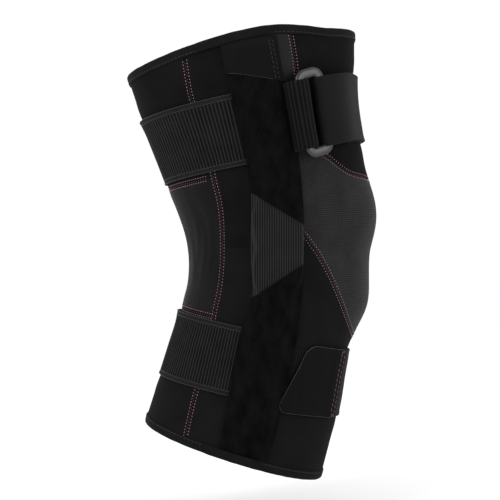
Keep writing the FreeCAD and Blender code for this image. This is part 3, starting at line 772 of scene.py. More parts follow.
def make_sleeve():
    side, edge = 75.0, 65.3
    wool, calf_wool = (NEOPRENE, "neoprene"), (CALF_NEOPRENE, "neoprene")
    mesh, knit, shiny = (MESH, "mesh_fabric"), (STRETCH, "stretch_fabric"), (SHINY, "stretch_fabric")
    folds = {"shape": knit_folds, "cell": 0.0018}
    upper, lower = True, False
    around = back_seam, far_back_seam
    sleeve_panel("thigh_front_cloth", ["thigh_front_panel"], -FRONT_SEAM, FRONT_SEAM, patella_top, under_top,
                 wool, upper, ("high",))
    sleeve_panel("patella_mesh_upper", ["patella_panel"], -PATELLA_HALF, PATELLA_HALF, upper_patella_low,
                 patella_top, mesh, upper, ("low",))
    sleeve_panel("patella_mesh_lower", ["patella_panel"], -edge, edge, patella_bottom, 0.0,
                 mesh, lower, ("high", "first", "last"))
    sleeve_panel("popliteal_knit_upper", ["popliteal_panel"], *around, 0.0, POP_HALF,
                 knit, upper, ("low",), **folds)
    sleeve_panel("popliteal_knit_lower", ["popliteal_panel"], *around, -POP_HALF, 0.0,
                 knit, lower, ("high",), **folds)
    sleeve_panel("thigh_back_cloth", ["thigh_back_panel"], *around, POP_HALF, under_top,
                 wool, upper, ("high",))
    sleeve_panel("calf_back_cloth", ["calf_back_panel"], *around, over_bottom, -POP_HALF,
                 calf_wool, lower, ("low",))
    sleeve_panel("calf_front_cloth", ["calf_front_panel"], -side, side, over_bottom, calf_front_top,
                 calf_wool, lower, ("low", "first", "last"), top_groove_to=64.0)
    for name, wing, strip, flank in (
        ("lateral", (edge, side), (FRONT_SEAM, side), (side, back_seam)),
        ("medial", (-side, -edge), (-side, -FRONT_SEAM), (medial_back_seam, -side)),
    ):
        sleeve_panel(f"{name}_calf_wing_cloth", ["calf_front_panel"], *wing, 0.0, wing_top,
                     calf_wool, upper, ("low", "first", "last"))
        sleeve_panel(f"{name}_thigh_strip_knit", ["thigh_front_panel"], *strip, patella_top, under_top,
                     shiny, upper, ("high",))
        sleeve_panel(f"{name}_side_cloth_upper", [f"thigh_{name}_panel", f"{name}_knee_panel"], *flank,
                     0.0, under_top, wool, upper, ("low", "high"))
        sleeve_panel(f"{name}_side_cloth_lower", [f"calf_{name}_panel"], *flank,
                     over_bottom, 0.0, calf_wool, lower, ("low", "high"))


def make_binding(name, edge, up, node, upper, height):
    """Tape folded over a rim: down the outside, over the edge and down the inside."""
    around = np.linspace(0, 2 * math.pi, 241)[:-1]
    round_radius = (THICK + 0.0016) / 2
    turns = np.radians(np.linspace(0, 180, 9))
    outside = [(-height, 0.0002), (-height, 0.0005), (-height * 0.96, 0.0008), (-height * 0.6, 0.0009)]
    outside += [(-height * 0.3, 0.0009)]
    over = [(round_radius * 0.8 * math.sin(t), round_radius * math.cos(t) - THICK / 2) for t in turns]
    inside = [(-height * 0.4, -THICK - 0.0009), (-height, -THICK - 0.0008), (-height, -THICK + 0.0002)]
    profile = np.array(outside + over + inside)
    u = np.broadcast_to(around, (len(profile), len(around)))
    ripple = 0.00005 * np.sin(23 * around) + 0.00004 * np.sin(41 * around + 1.0)
    over_pocket = 0.0012 * smooth((24 - np.abs(np.abs(turn_from(around, 0)) - 97)) / 10)
    s = edge(around)[None, :] + up * (profile[:, :1] + ripple[None, :])
    outward = smooth((profile[:, 1:] + THICK / 2) / (THICK / 2))
    points = on_leg(u, s, profile[:, 1:] + outward * over_pocket[None, :])
    faces = grid_faces(*u.shape, wrap=True, closed=True)
    length = np.concatenate([[0], np.cumsum(np.hypot(*np.diff(profile, axis=0).T))])
    uv = np.stack([u * RIM_REACH, np.broadcast_to(length[:, None], u.shape)], -1)
    obj = finish_mesh(name, points.reshape(-1, 3), faces, uv.reshape(-1, 2), BINDING, 50.0)
    sew(obj, [node], upper)


# ------------------------------------------------------------------ stitches


def tube_faces(rows, corners, base=0):
    """The wall of a closed tube and its two ends."""
    ends = [tuple(range(first, first + corners)) for first in (base, base + (rows - 1) * corners)]
    return grid_faces(rows, corners, base, True) + ends


def part_way(mark, run, values):
    """The place or direction at a mark along a line."""
    return np.array([np.interp(mark, run, values[:, i]) for i in range(3)])


def stitch_mesh(name, rows, material, upper, length=0.0010, gap=0.0013, thick=0.00034, slant=0.0):
    """Short threads laid along lines; each row is a line's points and normals, and slant turns the threads."""
    points, faces, uvs = [], [], []
    shape = [(-0.5, 0.35), (-0.32, 1.0), (0.32, 1.0), (0.5, 0.35)]
    corners = 6
    for row, (line, normal) in enumerate(rows):
        gaps = np.linalg.norm(np.diff(line, axis=0), axis=1)
        run = np.concatenate([[0], np.cumsum(gaps)])
        count = int(run[-1] / (length + gap))
        for index in range(count):
            middle = (index + 0.5 + 0.37 * (row % 3)) * (length + gap)
            place, out = part_way(middle, run, line), part_way(middle, run, normal)
            behind, ahead = (part_way(middle + way * length / 2, run, line) for way in (-1, 1))
            if upper is not None and (place[2] >= 0) != upper:
                continue
            forward = (ahead - behind) / max(np.linalg.norm(ahead - behind), 1e-9)
            out /= np.linalg.norm(out)
            lean = slant * (1 if (index + row) % 2 else -1)
            forward = forward * math.cos(lean) + np.cross(out, forward) * math.sin(lean)
            across = np.cross(forward, out)
            base = len(points)
            for along, size in shape:
                heart = place + forward * along * length + out * (0.3 * thick * (size - 0.6))
                for corner in range(corners):
                    turn = 2 * math.pi * corner / corners
                    ring = across * math.cos(turn) + out * math.sin(turn) * 0.8
                    points.append(heart + ring * thick * size)
                    uvs.append((middle + along * length, corner * thick))
            faces += tube_faces(len(shape), corners, base)
    obj = finish_mesh(name, points, faces, uvs, material, 60.0)
    return obj


def leg_line(u, s, lift, sideways=0.0):
    """A line on the leg, moved sideways on the surface, with its normals."""
    step = 0.0005
    here = on_leg(u, s, lift)
    round_way = on_leg(u + step / 0.07, s, lift) - here
    long_way = on_leg(u, s + step, lift) - here
    normal = np.cross(long_way, round_way)
    normal /= np.linalg.norm(normal, axis=-1, keepdims=True)
    outward = here - np.stack(np.broadcast_arrays(centre(s)[0], 0 * s, centre(s)[1]), -1)
    flip = np.sign(np.sum(normal * outward, -1, keepdims=True))
    normal *= flip
    forward = np.gradient(here, axis=0)
    forward /= np.linalg.norm(forward, axis=-1, keepdims=True)
    return here + np.cross(normal, forward) * sideways, normal


FLATLOCK_ROWS = (-0.0017, 0.0, 0.0017)


def seam_stitches(name, u, s, halves, lift=-0.0001, places=FLATLOCK_ROWS, material=None, slant=0.1, **sizes):
    """Parallel rows of small slanted stitches along a seam, in one piece for each half of the knee."""
    rows = [leg_line(u, s, lift, place) for place in places]
    groups = [("", rows, material)]
    if material is None:
        groups = [("", rows[1:2], PINK), ("_light", rows[::2], PALE)]
    for upper in halves:
        for suffix, lines, thread in groups:
            label = f"{name}{suffix}_upper" if upper else f"{name}{suffix}_lower"
            bend(stitch_mesh(label, lines, thread, upper, slant=slant, **sizes), upper)


def make_rim_stitches():
    """A dashed grey row near the inner edge of each binding tape."""
    u = np.radians(np.linspace(0, 360, 900))
    for name, edge, way, upper in (("top_rim", top_edge, -1, True), ("bottom_rim", bottom_edge, 1, False)):
        seam_stitches(f"{name}_stitch", u, edge(u) + way * 0.0038, (upper,), 0.0009, (0.0,), GREY, 0.0,
                      length=0.0019, gap=0.0013, thick=0.00022)


def make_seams():
    for name, sign in (("lateral", 1), ("medial", -1)):
        s = np.linspace(BOTTOM_RIM + 0.008, TOP_RIM - 0.006, 300)
        seam_stitches(f"{name}_back_seam_stitch", sign * back_seam(s), s, (True, False))
        s = np.linspace(0.072, TOP_RIM, 80)
        u = np.full(s.shape, sign * math.radians(FRONT_SEAM))
        seam_stitches(f"{name}_front_seam_stitch", u, s, (True,))
    u = np.radians(np.linspace(-74, 74, 260))
    seam_stitches("patella_top_stitch", u, patella_top(u), (True,))
    seam_stitches("patella_bottom_stitch", u, patella_bottom(u), (True, False))
    u = np.radians(np.linspace(132, 228, 180))
    s = np.full(u.shape, POP_HALF)
    seam_stitches("popliteal_top_stitch", u, s, (True,))
    seam_stitches("popliteal_bottom_stitch", u, -s, (False,))


# ------------------------------------------------------------------ straps

def front_strap_drop(u):
    """How far the thigh's front strap sags below a level band, more towards its ring."""
    turn = np.degrees(u)
    return 0.0014 + 0.0030 * smooth((turn - 22) / 38) + 0.0006 * smooth((turn - 60) / 12)


STRAP_THICK = 0.0019
STRAP_LIFT = 0.0004
BORDER = 0.0036


def ribs(distance, pitch=RIB_PITCH):
    """Round-topped ribs with wide valleys between them, from 0 to 1."""
    return (0.5 - 0.5 * np.cos(2 * math.pi * distance / pitch)) ** 1.3


def back_strap(name, node, up, upper):
    """Ribbed elastic webbing round the back, from one hinge pocket to the other, with two-line borders."""
    low, high = span(node, up)
    half = 76.0

    def base(u, s):
        near_middle = np.exp(-(turn_from(u, 172) / 30.0) ** 2)
        return STRAP_LIFT + 0.0011 * np.exp(-((high - s) / 0.007) ** 2) * near_middle

    ends = 180 - half, 180 + half
    u, s, sides, uv = leg_patch(*ends, low + BORDER, high - BORDER, 0.0020, 0.00050, (0.0004,))
    uv[..., 0] = u * BACK_REACH
    under = base(u, s)
    top = under + STRAP_THICK * 0.72 + 0.00055 * ribs(u * BACK_REACH)
    pieces = [slab(name, on_leg(u, s, top), on_leg(u, s, under), uv, RIBBED, 80.0)]
    for edge, (first, last) in (("low", (low, low + BORDER)), ("high", (high - BORDER, high))):
        u, s, sides, uv = leg_patch(*ends, first, last, 0.00030, 0.0030, (0.0002,))
        under = base(u, s)
        lines = 0.00030 * ribs(np.abs(s - first), BORDER / 2)
        top = under + STRAP_THICK * (0.35 + 0.5 * rounded(sides[edge], 0.0008)) + lines
        outer, inner = on_leg(u, s, top), on_leg(u, s, under)
        pieces.append(slab(f"{name}_{edge}_border", outer, inner, uv, SELVEDGE, 80.0))
    for index, station in enumerate((low, low + BORDER, high - BORDER, high)):
        u = np.radians(np.linspace(*ends, 90))
        s = np.full(u.shape, station + (0.0003 if index in (0, 2) else -0.0003))
        lift = base(u, s) + STRAP_THICK * 0.80
        pieces.append(cord_along(f"{name}_line_{index}", leg_places(zip(u, s, lift)), 0.00036, LINE))
    for piece in pieces:
        sew(piece, [node], upper)


def ribbon(name, path, low, high, material, lean, ribbed=0.0, cell=0.0020, pitch=RIB_PITCH):
    """A strap that follows a path of (angle, height) points across its width from one station to another.

    The path is its middle line, lean turns it about the ring, and ribbed is the height of ribs across it.
    """
    u = np.array([p[0] for p in path], float)
    h = np.array([p[1] for p in path], float)
    reach = radius(u, np.full(u.shape, (low + high) / 2))
    flat = np.stack([u * reach, h], -1)
    way = np.gradient(flat, axis=0)
    way /= np.linalg.norm(way, axis=1, keepdims=True)
    side = np.stack([way[:, 1], -way[:, 0]], -1)
    run = np.concatenate([[0], np.cumsum(np.linalg.norm(np.diff(flat, axis=0), axis=1))])
    q = steps(high - low, cell, FINE_RIMS)
    from_edge = np.minimum(q, 1 - q) * (high - low)
    rounding = 0.5 + 0.5 * rounded(from_edge)
    s = low + (high - low) * q
    faces_out = []
    ridge = ribbed * ribs(run, pitch)
    for sign in (1, -1):
        half = sign * STRAP_THICK / 2 * rounding[:, None]
        extra = sign * (ridge[None, :] - ribbed / 2) * smooth((from_edge - 0.003) / 0.0006)[:, None]
        place = flat[None, :, :] + side[None, :, :] * (half + extra)[..., None]
        turn = place[..., 0] / reach[None, :]
        turn = turn + lean(turn, s[:, None])
        faces_out.append(on_leg(turn, s[:, None] - front_strap_drop(turn), place[..., 1]))
    uv = np.stack(np.broadcast_arrays(run[None, :], s[:, None]), -1)
    return slab(name, faces_out[0], faces_out[1], uv, material, 60.0)


def arc_path(heart_u, heart_h, reach, size, start, end, count=13):
    """Points of (angle, height) round a bar's heart; start and end are turns in degrees from the back."""
    turns = np.radians(np.linspace(start, end, count))
    return [(heart_u + size * math.cos(t) / reach, heart_h + size * math.sin(t)) for t in turns]


def even_path(points, step, reach):
    """The path with points added along its straight stretches, and its corners softened."""
    flat = np.array(points, float) * [reach, 1]
    run = np.concatenate([[0], np.cumsum(np.linalg.norm(np.diff(flat, axis=0), axis=1))])
    marks = np.linspace(0, run[-1], max(8, int(run[-1] / step)))
    dense = np.stack([np.interp(marks, run, flat[:, i]) for i in range(2)], -1)
    for _ in range(6):
        dense[1:-1] = 0.25 * dense[:-2] + 0.5 * dense[1:-1] + 0.25 * dense[2:]
    return [(x / reach, y) for x, y in dense]


def strap_ring():
    """The moulded ring, read from its CAD node: heart, long axis, short axis and facing."""
    points = node_points("strap_ring")
    offset = points - points.mean(0)
    _, _, axes = np.linalg.svd(offset, full_matrices=False)
    long_way = axes[0] * np.sign(axes[0][2])
    short_way = axes[1] * np.sign(axes[1][0])
    facing = np.cross(long_way, short_way)
    facing *= np.sign(-facing[1])
    spans = [(axis, offset @ axis) for axis in (long_way, short_way, facing)]
    heart = points.mean(0) + sum(axis * (places.max() + places.min()) / 2 for axis, places in spans)
    return heart, long_way, short_way, facing, [np.ptp(places) for _, places in spans]


RING_DROP = 0.0040
RING_PROUD = 0.0010
RING_BAR = 0.0074
RING_REARWARD = 0.0034
RING_SLANT = 0.10
RING_LEAN = 0.044


def make_ring(heart, long_way, short_way, facing, size):
    """A rounded rectangle of moulded bar."""
    bar_wide, bar_high, corner = RING_BAR, size[2], 0.0052
    half_long, half_short = (size[0] - bar_wide) / 2, (size[1] - bar_wide) / 2
    path = []
    for cx, cz, first in ((1, 1, 0), (-1, 1, 90), (-1, -1, 180), (1, -1, 270)):
        for turn in np.radians(np.linspace(first, first + 90, 9)):
            across = cx * (half_short - corner) + corner * math.cos(turn)
            along = cz * (half_long - corner) + corner * math.sin(turn) + RING_SLANT * across
            path.append((across, along, math.cos(turn), math.sin(turn)))
    sections = 24
    points, uvs = [], []
    for index, (across, along, out_x, out_z) in enumerate(path):
        for k in range(sections):
            turn = 2 * math.pi * k / sections
            wide, high = math.cos(turn), math.sin(turn)
            wide = math.copysign(abs(wide) ** 0.62, wide) * bar_wide / 2
            high = math.copysign(abs(high) ** 0.62, high) * bar_high / 2
            sideways, up = short_way * (across + out_x * wide), long_way * (along + out_z * wide)
            points.append(heart + sideways + up + facing * high)
            uvs.append((index * 0.003, k * 0.001))
    faces = grid_faces(len(path), sections, wrap=True, closed=True)
    obj = finish_mesh("strap_ring_moulding", points, faces, uvs, GLOSS, 70.0)
    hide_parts("strap_ring")
    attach(obj, "thigh_buckle")


def map_place(point):
    """Angle, station and height above the sleeve of a point beside the thigh."""
    station = float(point @ THIGH_UP)
    for _ in range(4):
        x, z = centre(np.array(station))
        lean = float(tilt(np.array(station)))
        ahead = (point[0] - x) * math.cos(lean) + (point[2] - z) * math.sin(lean)
        over = -(point[0] - x) * math.sin(lean) + (point[2] - z) * math.cos(lean)
        station += float(over)
    angle = math.atan2(-point[1], ahead)
    out = math.hypot(ahead, point[1])
    here = np.array(angle), np.array(station)
    return angle, station, out - float(radius(*here) + relief(*here))


def blended(obj, node, start):
    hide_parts(node)
    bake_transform(obj)


def make_thigh_front():
    """The ring, the ribbed loop that holds it, and the smooth strap through it that folds back on itself."""
    heart, long_way, short_way, facing, size = strap_ring()
    heart = heart - short_way * RING_REARWARD - THIGH_UP * RING_DROP + facing * RING_PROUD
    leaning = long_way - short_way * RING_LEAN
    leaning /= np.linalg.norm(leaning)
    make_ring(heart, leaning, short_way + long_way * RING_LEAN, facing, size)
    ring_u, ring_s, ring_h = map_place(heart)
    low, high = span("thigh_front_strap", THIGH_UP)
    reach = float(radius(np.array(ring_u), np.array(ring_s)))
    bar = (size[1] - 0.0055) / 2
    rear_u, front_u = ring_u + bar / reach, ring_u - bar / reach
    wrap = 0.0041 + STRAP_THICK / 2
    middle = np.array(ring_s)

    def lean(u, s):
        near = 1 - smooth((np.abs(u - ring_u) * reach - 0.012) / 0.024)
        return RING_LEAN * near * (s - (low + high) / 2) / reach

    def spot(u, height=0.004):
        return on_leg(np.array(u), middle, height)

    under = STRAP_LIFT + STRAP_THICK / 2
    over = under + STRAP_THICK + 0.0002
    far_u, turn_u = math.radians(-83.0), math.radians(36.0)
    lower = [(far_u, under), (turn_u, under), (front_u - 0.004 / reach, ring_h - wrap)]
    lower_path = even_path(lower + arc_path(front_u, ring_h, reach, wrap, -80, 0), 0.0007, reach)
    cut = next(i for i, p in enumerate(lower_path) if p[0] >= math.radians(33.0))
    strap = ribbon("thigh_front_strap_cloth", lower_path[: cut + 1], low, high, STRAP, lean)
    sew(strap, ["thigh_front_strap"], True)
    edge = 0.0006
    edges = low + edge, high - edge
    inner_fold = ribbon("thigh_strap_inner_fold_cloth", lower_path[cut:], *edges, STRAP, lean)
    still, moving = spot(math.radians(34.0)), spot(front_u - 0.003 / reach)
    blended(inner_fold, "thigh_front_strap", still)

    tab_end, root = math.radians(-14.0), math.radians(38.0)
    down = np.linspace(0.002, 0.050, 14)
    rise = ring_h + wrap - over
    upper = [(front_u - d / reach, over + rise * float(1 - smooth(d / 0.052)) ** 1.4) for d in down]
    upper.append((tab_end, over))
    upper_path = even_path(arc_path(front_u, ring_h, reach, wrap, 0, 80) + upper, 0.0007, reach)
    cut = next(i for i, p in enumerate(upper_path) if p[0] <= root)
    outer_fold = ribbon("thigh_strap_fold_cloth", upper_path[: cut + 1], *edges, STRAP, lean)
    blended(outer_fold, "thigh_front_strap", spot(root))
    tab = ribbon("thigh_strap_tab_cloth", upper_path[cut:], *edges, STRAP, lean)
    free = spot(root - math.radians(9))
    blended(tab, "thigh_strap_tab", spot(root))

    root_u = math.radians(82.0)
    fold_u = rear_u - 0.0022 / reach
    top = [(root_u, 0.0014), (math.radians(74.0), 0.0015), (rear_u + 0.006 / reach, ring_h + 0.0016)]
    top.append((rear_u + 0.002 / reach, ring_h + wrap))
    around = arc_path(fold_u, ring_h, reach, wrap, 100, 260)
    bottom = [(rear_u + 0.006 / reach, under), (math.radians(72.0), under)]
    loop_path = even_path(top + around + bottom, 0.0005, reach)
    edges = low + 0.001, high - 0.001
    holder = ribbon("ring_loop_elastic", loop_path, *edges, LOOP_RIBBED, lean, 0.00045, 0.002, LOOP_PITCH)
    sew(holder, ["ring_loop"], True)


def cut_rim(far_edge, root_u, low, high):
    """The free outline of the calf tab: along its top, down its slanted end and back along its bottom."""
    inset = 0.0003
    down = np.linspace(high - inset, low + inset, 60)
    far = far_edge(down) - inset / TAB_REACH
    top = [(a, high - inset) for a in np.linspace(root_u, far[0], 24)[:-1]]
    bottom = [(a, low + inset) for a in np.linspace(far[-1], root_u, 24)[1:]]
    return top + list(zip(far, down)) + bottom


def leg_places(places):
    """Points of places on the leg (angle, station, height)."""
    return np.array([on_leg(*np.array(place)) for place in places])


def cord_along(name, line, size, material):
    """A thin round cord through points."""
    forward = np.gradient(line, axis=0)
    forward /= np.maximum(np.linalg.norm(forward, axis=1, keepdims=True), 1e-9)
    out = line - np.stack([0 * line[:, 0] + line[:, 0].mean() * 0.2, 0 * line[:, 1], line[:, 2]], -1)
    out -= np.sum(out * forward, 1, keepdims=True) * forward
    out /= np.maximum(np.linalg.norm(out, axis=1, keepdims=True), 1e-9)
    across = np.cross(forward, out)
    sections = 8
    points, uvs = [], []
    for i in range(len(line)):
        for k in range(sections):
            turn = 2 * math.pi * k / sections
            points.append(line[i] + size * (across[i] * math.cos(turn) + out[i] * math.sin(turn)))
            uvs.append((i * 0.001, k * 0.0003))
    return finish_mesh(name, points, tube_faces(len(line), sections), uvs, material, 70.0)


TAB_THICK = 0.0016


def make_calf_front():
    """The calf strap round the shin and its hook tab, a rounded trapezoid that lies on the lateral side."""
    low, high = span("calf_front_strap", CALF_UP)
    low, high = low - 0.0016, high - 0.0008
    u, s, sides, uv = leg_patch(-74.0, 27.0, low, high, 0.002, None, FINE_RIMS)
    near = nearest_side(sides)
    top = STRAP_THICK * (0.5 + 0.5 * rounded(near))
    outer, inner = on_leg(u, s, STRAP_LIFT + top), on_leg(u, s, STRAP_LIFT)
    strap = slab("calf_front_strap_cloth", outer, inner, uv, STRAP, 60.0)
    sew(strap, ["calf_front_strap"], False)

    corner = 0.008
    height = high - low
    top_turn, lean = 59.3, 15.8

    def far_edge(s):
        share = (high - s) / height
        line = top_turn + lean * share
        from_end = np.minimum(high - s, s - low)
        cut = corner - np.sqrt(np.clip(corner ** 2 - np.clip(corner - from_end, 0, corner) ** 2, 0, None))
        return np.radians(line - np.degrees(cut / TAB_REACH))

    root = 23.0
    over = STRAP_LIFT + STRAP_THICK + 0.0002

    def tab_height(angle):
        turn = np.degrees(angle)
        settling = over * (1 - 0.45 * smooth((turn - 30.0) / 8.0))
        return settling + 0.0013 * smooth((turn - 61.0) / 4.0) + TAB_THICK

    u, s, sides, uv = leg_patch(root, far_edge, low, high, 0.0018, None, FINE_RIMS)
    near = nearest_side(sides, ("first",))
    top = TAB_THICK * (0.5 + 0.5 * rounded(near, 0.0008))
    rise = tab_height(u) - TAB_THICK
    tab = slab("calf_strap_tab_cloth", on_leg(u, s, rise + top), on_leg(u, s, rise), uv, TAB, 60.0)
    middle = np.array((low + high) / 2)
    start = on_leg(np.array(math.radians(26.0)), middle, 0.003)
    end = on_leg(np.array(math.radians(33.0)), middle, 0.003)

    def hang(piece):
        blended(piece, "calf_strap_tab", start)

    hang(tab)

    rim = cut_rim(far_edge, math.radians(26.5), low, high)
    places = leg_places((a, b, tab_height(a) - 0.0007) for a, b in rim)
    hang(cord_along("calf_tab_cut_edge", places, 0.00042, CUT_EDGE))
    line = np.linspace(low + 0.0025, high - 0.0025, 60)
    rows = []
    for angle in (24.9, 28.6):
        turn = np.full(line.shape, math.radians(angle))
        rows.append(leg_line(turn, line, tab_height(turn) + 0.00005))
    hang(stitch_mesh("calf_tab_stitch", rows, TAB_THREAD, None, length=0.0023, gap=0.0015, thick=0.00031))
    rows = []
    for station in (low + 0.0012, low + 0.0022, high - 0.0022, high - 0.0012):
        turn = np.radians(np.linspace(24.5, 29.0, 12))
        rows.append(leg_line(turn, np.full(turn.shape, station), tab_height(turn) + 0.00005))
    hang(stitch_mesh("calf_tab_tack", rows, TAB_THREAD, None, length=0.0016, gap=0.0006, thick=0.00034))

    low, high = span("calf_side_elastic", CALF_UP)
    u, s, sides, uv = leg_patch(58.0, 78.0, low, high, 0.0018, 0.00045, FINE_RIMS)
    near = nearest_side(sides)
    top = 0.0014 * (0.5 + 0.5 * rounded(near, 0.0008))
    ridge = 0.00030 * ribs(u * CALF_REACH, LOOP_PITCH)
    uv[..., 0] = u * CALF_REACH
    outer, inner = on_leg(u, s, 0.0001 + top * 0.5 + ridge), on_leg(u, s, 0.0001)
    patch = slab("calf_side_elastic_cloth", outer, inner, uv, LOOP_RIBBED, 60.0)
    sew(patch, ["calf_side_elastic"], False)


# ------------------------------------------------------------------ hinge pockets

BAR_BEND = 0.024


def bar_line(half):
    """Direction, length and outward slope of a hinge bar, from its tip cap."""
    tip = node_points(f"lateral_{half}_tip_cap").mean(0)
    pivot = np.array([0.0, PIVOT_HEIGHT if half == "upper" else -PIVOT_HEIGHT])
    way = np.array([tip[0], tip[2]]) - pivot
    length = float(np.linalg.norm(way))
    return pivot, way / length, length + 0.006, (abs(tip[1]) - BAR_OUT) / (length - BAR_BEND)


BARS = {half: bar_line(half) for half in ("upper", "lower")}


def leg_tree():
    u = np.radians(np.arange(0, 360, 2.0))
    s = np.arange(-0.188, 0.1761, 0.002)
    grid_u, grid_s = np.meshgrid(u, s)
    points = on_leg(grid_u, grid_s).reshape(-1, 3)
    faces = grid_faces(len(s), len(u), 0, True)
    return BVHTree.FromPolygons([Vector(p) for p in points], faces)


LEG_TREE = leg_tree()


def sleeve_out(x, z):
    """How far out the sleeve's lateral face lies at a height and a distance to the front."""
    flat_x, flat_z = np.ravel(x), np.ravel(z)
    out = np.zeros(len(flat_x))
    for index, (a, b) in enumerate(zip(flat_x, flat_z)):
        hit = LEG_TREE.ray_cast(Vector((a, -FAR, b)), Vector((0, 1, 0)), FAR)
        out[index] = -hit[0].y if hit[0] is not None else 0.0
    return out.reshape(np.shape(x))


def along_bar(x, z):
    """Distance to the front of the bar's line, and distance along it from the pivot."""
    off, run, top = np.zeros(x.shape), np.zeros(x.shape), np.zeros(x.shape)
    for half, here in (("upper", z >= 0), ("lower", z < 0)):
        pivot, way, _, slope = BARS[half]
        px, pz = x - pivot[0], z - pivot[1]
        along = px * way[0] + pz * way[1]
        front = px * abs(way[1]) - pz * way[0] * math.copysign(1, way[1])
        off = np.where(here, front, off)
        run = np.where(here, along, run)
        top = np.where(here, BAR_OUT + np.maximum(along - BAR_BEND, 0) * slope, top)
    return off, run, top


COVER_THICK = 0.0014
POCKET_WIDTH = 0.040
EDGE_LIFT = 0.0010
HINGE_STACK = 0.0042
BAR_STACK = 0.0030


def rim_line(edge):
    """Height of a rim on the lateral side as pairs of (distance to the front, height), in metres."""
    u = np.radians(np.linspace(140, 50, 46))
    points = on_leg(u, edge(u))
    return points[:, 0], points[:, 2]


TOP_LINE = rim_line(top_edge)
BOTTOM_LINE = rim_line(bottom_edge)


def rim_gap(x, z):
    """Distance from the nearer rim, measured upright."""
    return np.where(z > 0, np.interp(x, *TOP_LINE) - z, z - np.interp(x, *BOTTOM_LINE))


def pocket(x, z, lift, side):
    """Points of the pocket's draped face: over the bar in the middle, down on the sleeve at its edges."""
    off, run, top = along_bar(x, z)
    floor = sleeve_out(x, z)
    hinge = smooth((0.034 - np.abs(z)) / 0.012)
    stack = BAR_STACK + (HINGE_STACK - BAR_STACK) * hinge
    flat = 0.0095 + 0.0070 * hinge
    ridge = 1 - smooth((np.abs(off) - flat) / (0.0205 - flat))
    from_border = np.minimum(x - rear_edge(z), front_edge(z) - x)
    ridge = ridge * smooth(from_border / (0.0055 - 0.0036 * hinge))
    length = np.where(z >= 0, BARS["upper"][2], BARS["lower"][2])
    fade = 1 - smooth((run - length - 0.001) / 0.011)
    free = smooth((rim_gap(x, z) - 0.0045) / 0.006)
    edge = EDGE_LIFT * free
    height = edge + np.maximum(top + stack - floor - edge, 0) * ridge * fade
    return np.stack([x, side * (floor + height + lift * (0.35 + 0.65 * free)), z], -1)


# The pocket's borders: height and place to the front, in mm. They slant back from the hinge to both rims.
POCKET_REAR = [(-158, -47), (-137, -42), (-95, -34.5), (-58, -27), (-40, -21.0), (0, -21.0), (41, -20.8),
               (62, -23.5), (95, -31), (123, -38), (158, -45)]
POCKET_FRONT = [(-160, -9), (-110, 4.5), (-69, 13.0), (-12, 18.2), (16, 18.4), (70, 13.8), (116, 4.6),
                (158, -3.5)]
RIB_BORDER = {"upper_rear": 40.0, "upper_front": 16.5, "lower_rear": -36.5, "lower_front": -11.5}


def rear_edge(z):
    return through(POCKET_REAR, z / MM) * MM


def front_edge(z):
    return through(POCKET_FRONT, z / MM) * MM


def across_pocket(z, share):
    """Place to the front at a height and a share of the pocket's width from rear to front."""
    return rear_edge(z) + (front_edge(z) - rear_edge(z)) * share


def strap_rise(z, x):
    """The pocket's rear edge passes over the back straps, its front edge over the end of the ring's loop."""
    total = np.zeros(x.shape)
    rear = smooth((-(x - rear_edge(z)) + 0.006) / 0.005)
    front = smooth(((x - front_edge(z)) + 0.011) / 0.005)
    for node, up, share in (
        ("thigh_back_strap", THIGH_UP, rear),
        ("calf_back_strap", CALF_UP, rear),
        ("ring_loop", THIGH_UP, front),
    ):
        low, high = span(node, up)
        place = x * up[0] + z * up[2] + (0.0045 if node == "ring_loop" else 0.0)
        total = np.maximum(
            total, share * smooth((place - low + 0.003) / 0.003) * smooth((high + 0.003 - place) / 0.003)
        )
    return total * 0.0017


def pocket_patch(z_low, z_high, cell=0.002, cell_across=None, tuck=0.0):
    """A grid on the pocket between its borders; z_low and z_high depend on the share from rear to front."""
    width = POCKET_WIDTH
    p = steps(width, cell_across or cell, POCKET_RIMS)
    height = abs(float(z_high(0.5)) - float(z_low(0.5)))
    q = steps(height, cell, POCKET_RIMS)
    grid_p, grid_q = np.meshgrid(p, q)
    z = z_low(grid_p) + (z_high(grid_p) - z_low(grid_p)) * grid_q
    x = rear_edge(z) + tuck + (front_edge(z) - rear_edge(z) - 2 * tuck) * grid_p
    return x, z, sides_of(grid_p, grid_q, width, height), np.stack([x, z], -1)


def pocket_sheet(name, x, z, sides, uv, material, slot, side, base, thickness, ridge=0.0, leave=(),
                 sharp=50.0):
    near = nearest_side(sides, leave)
    round_top = 0.45 + 0.55 * rounded(near, 0.0010)
    lift = strap_rise(z, x)
    outer = pocket(x, z, base + lift + thickness * round_top + ridge, side)
    inner = pocket(x, z, base + lift, side)
    obj = slab(name, outer, inner, uv, material, sharp)
    return obj


UNDER_TAPE = 0.0040


def at_rim(p, line, inset):
    """Height where the pocket meets a rim, at a share of its width from rear to front."""
    z = np.full(np.shape(p), float(line[1].mean()))
    for _ in range(4):
        x = across_pocket(z, p)
        z = np.interp(x, *line) + inset
    return z


def hang_flap(obj, name):
    """Hides the CAD cap flap and bakes the piece's transform in place."""
    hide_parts(f"{name}_cap_flap")
    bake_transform(obj)


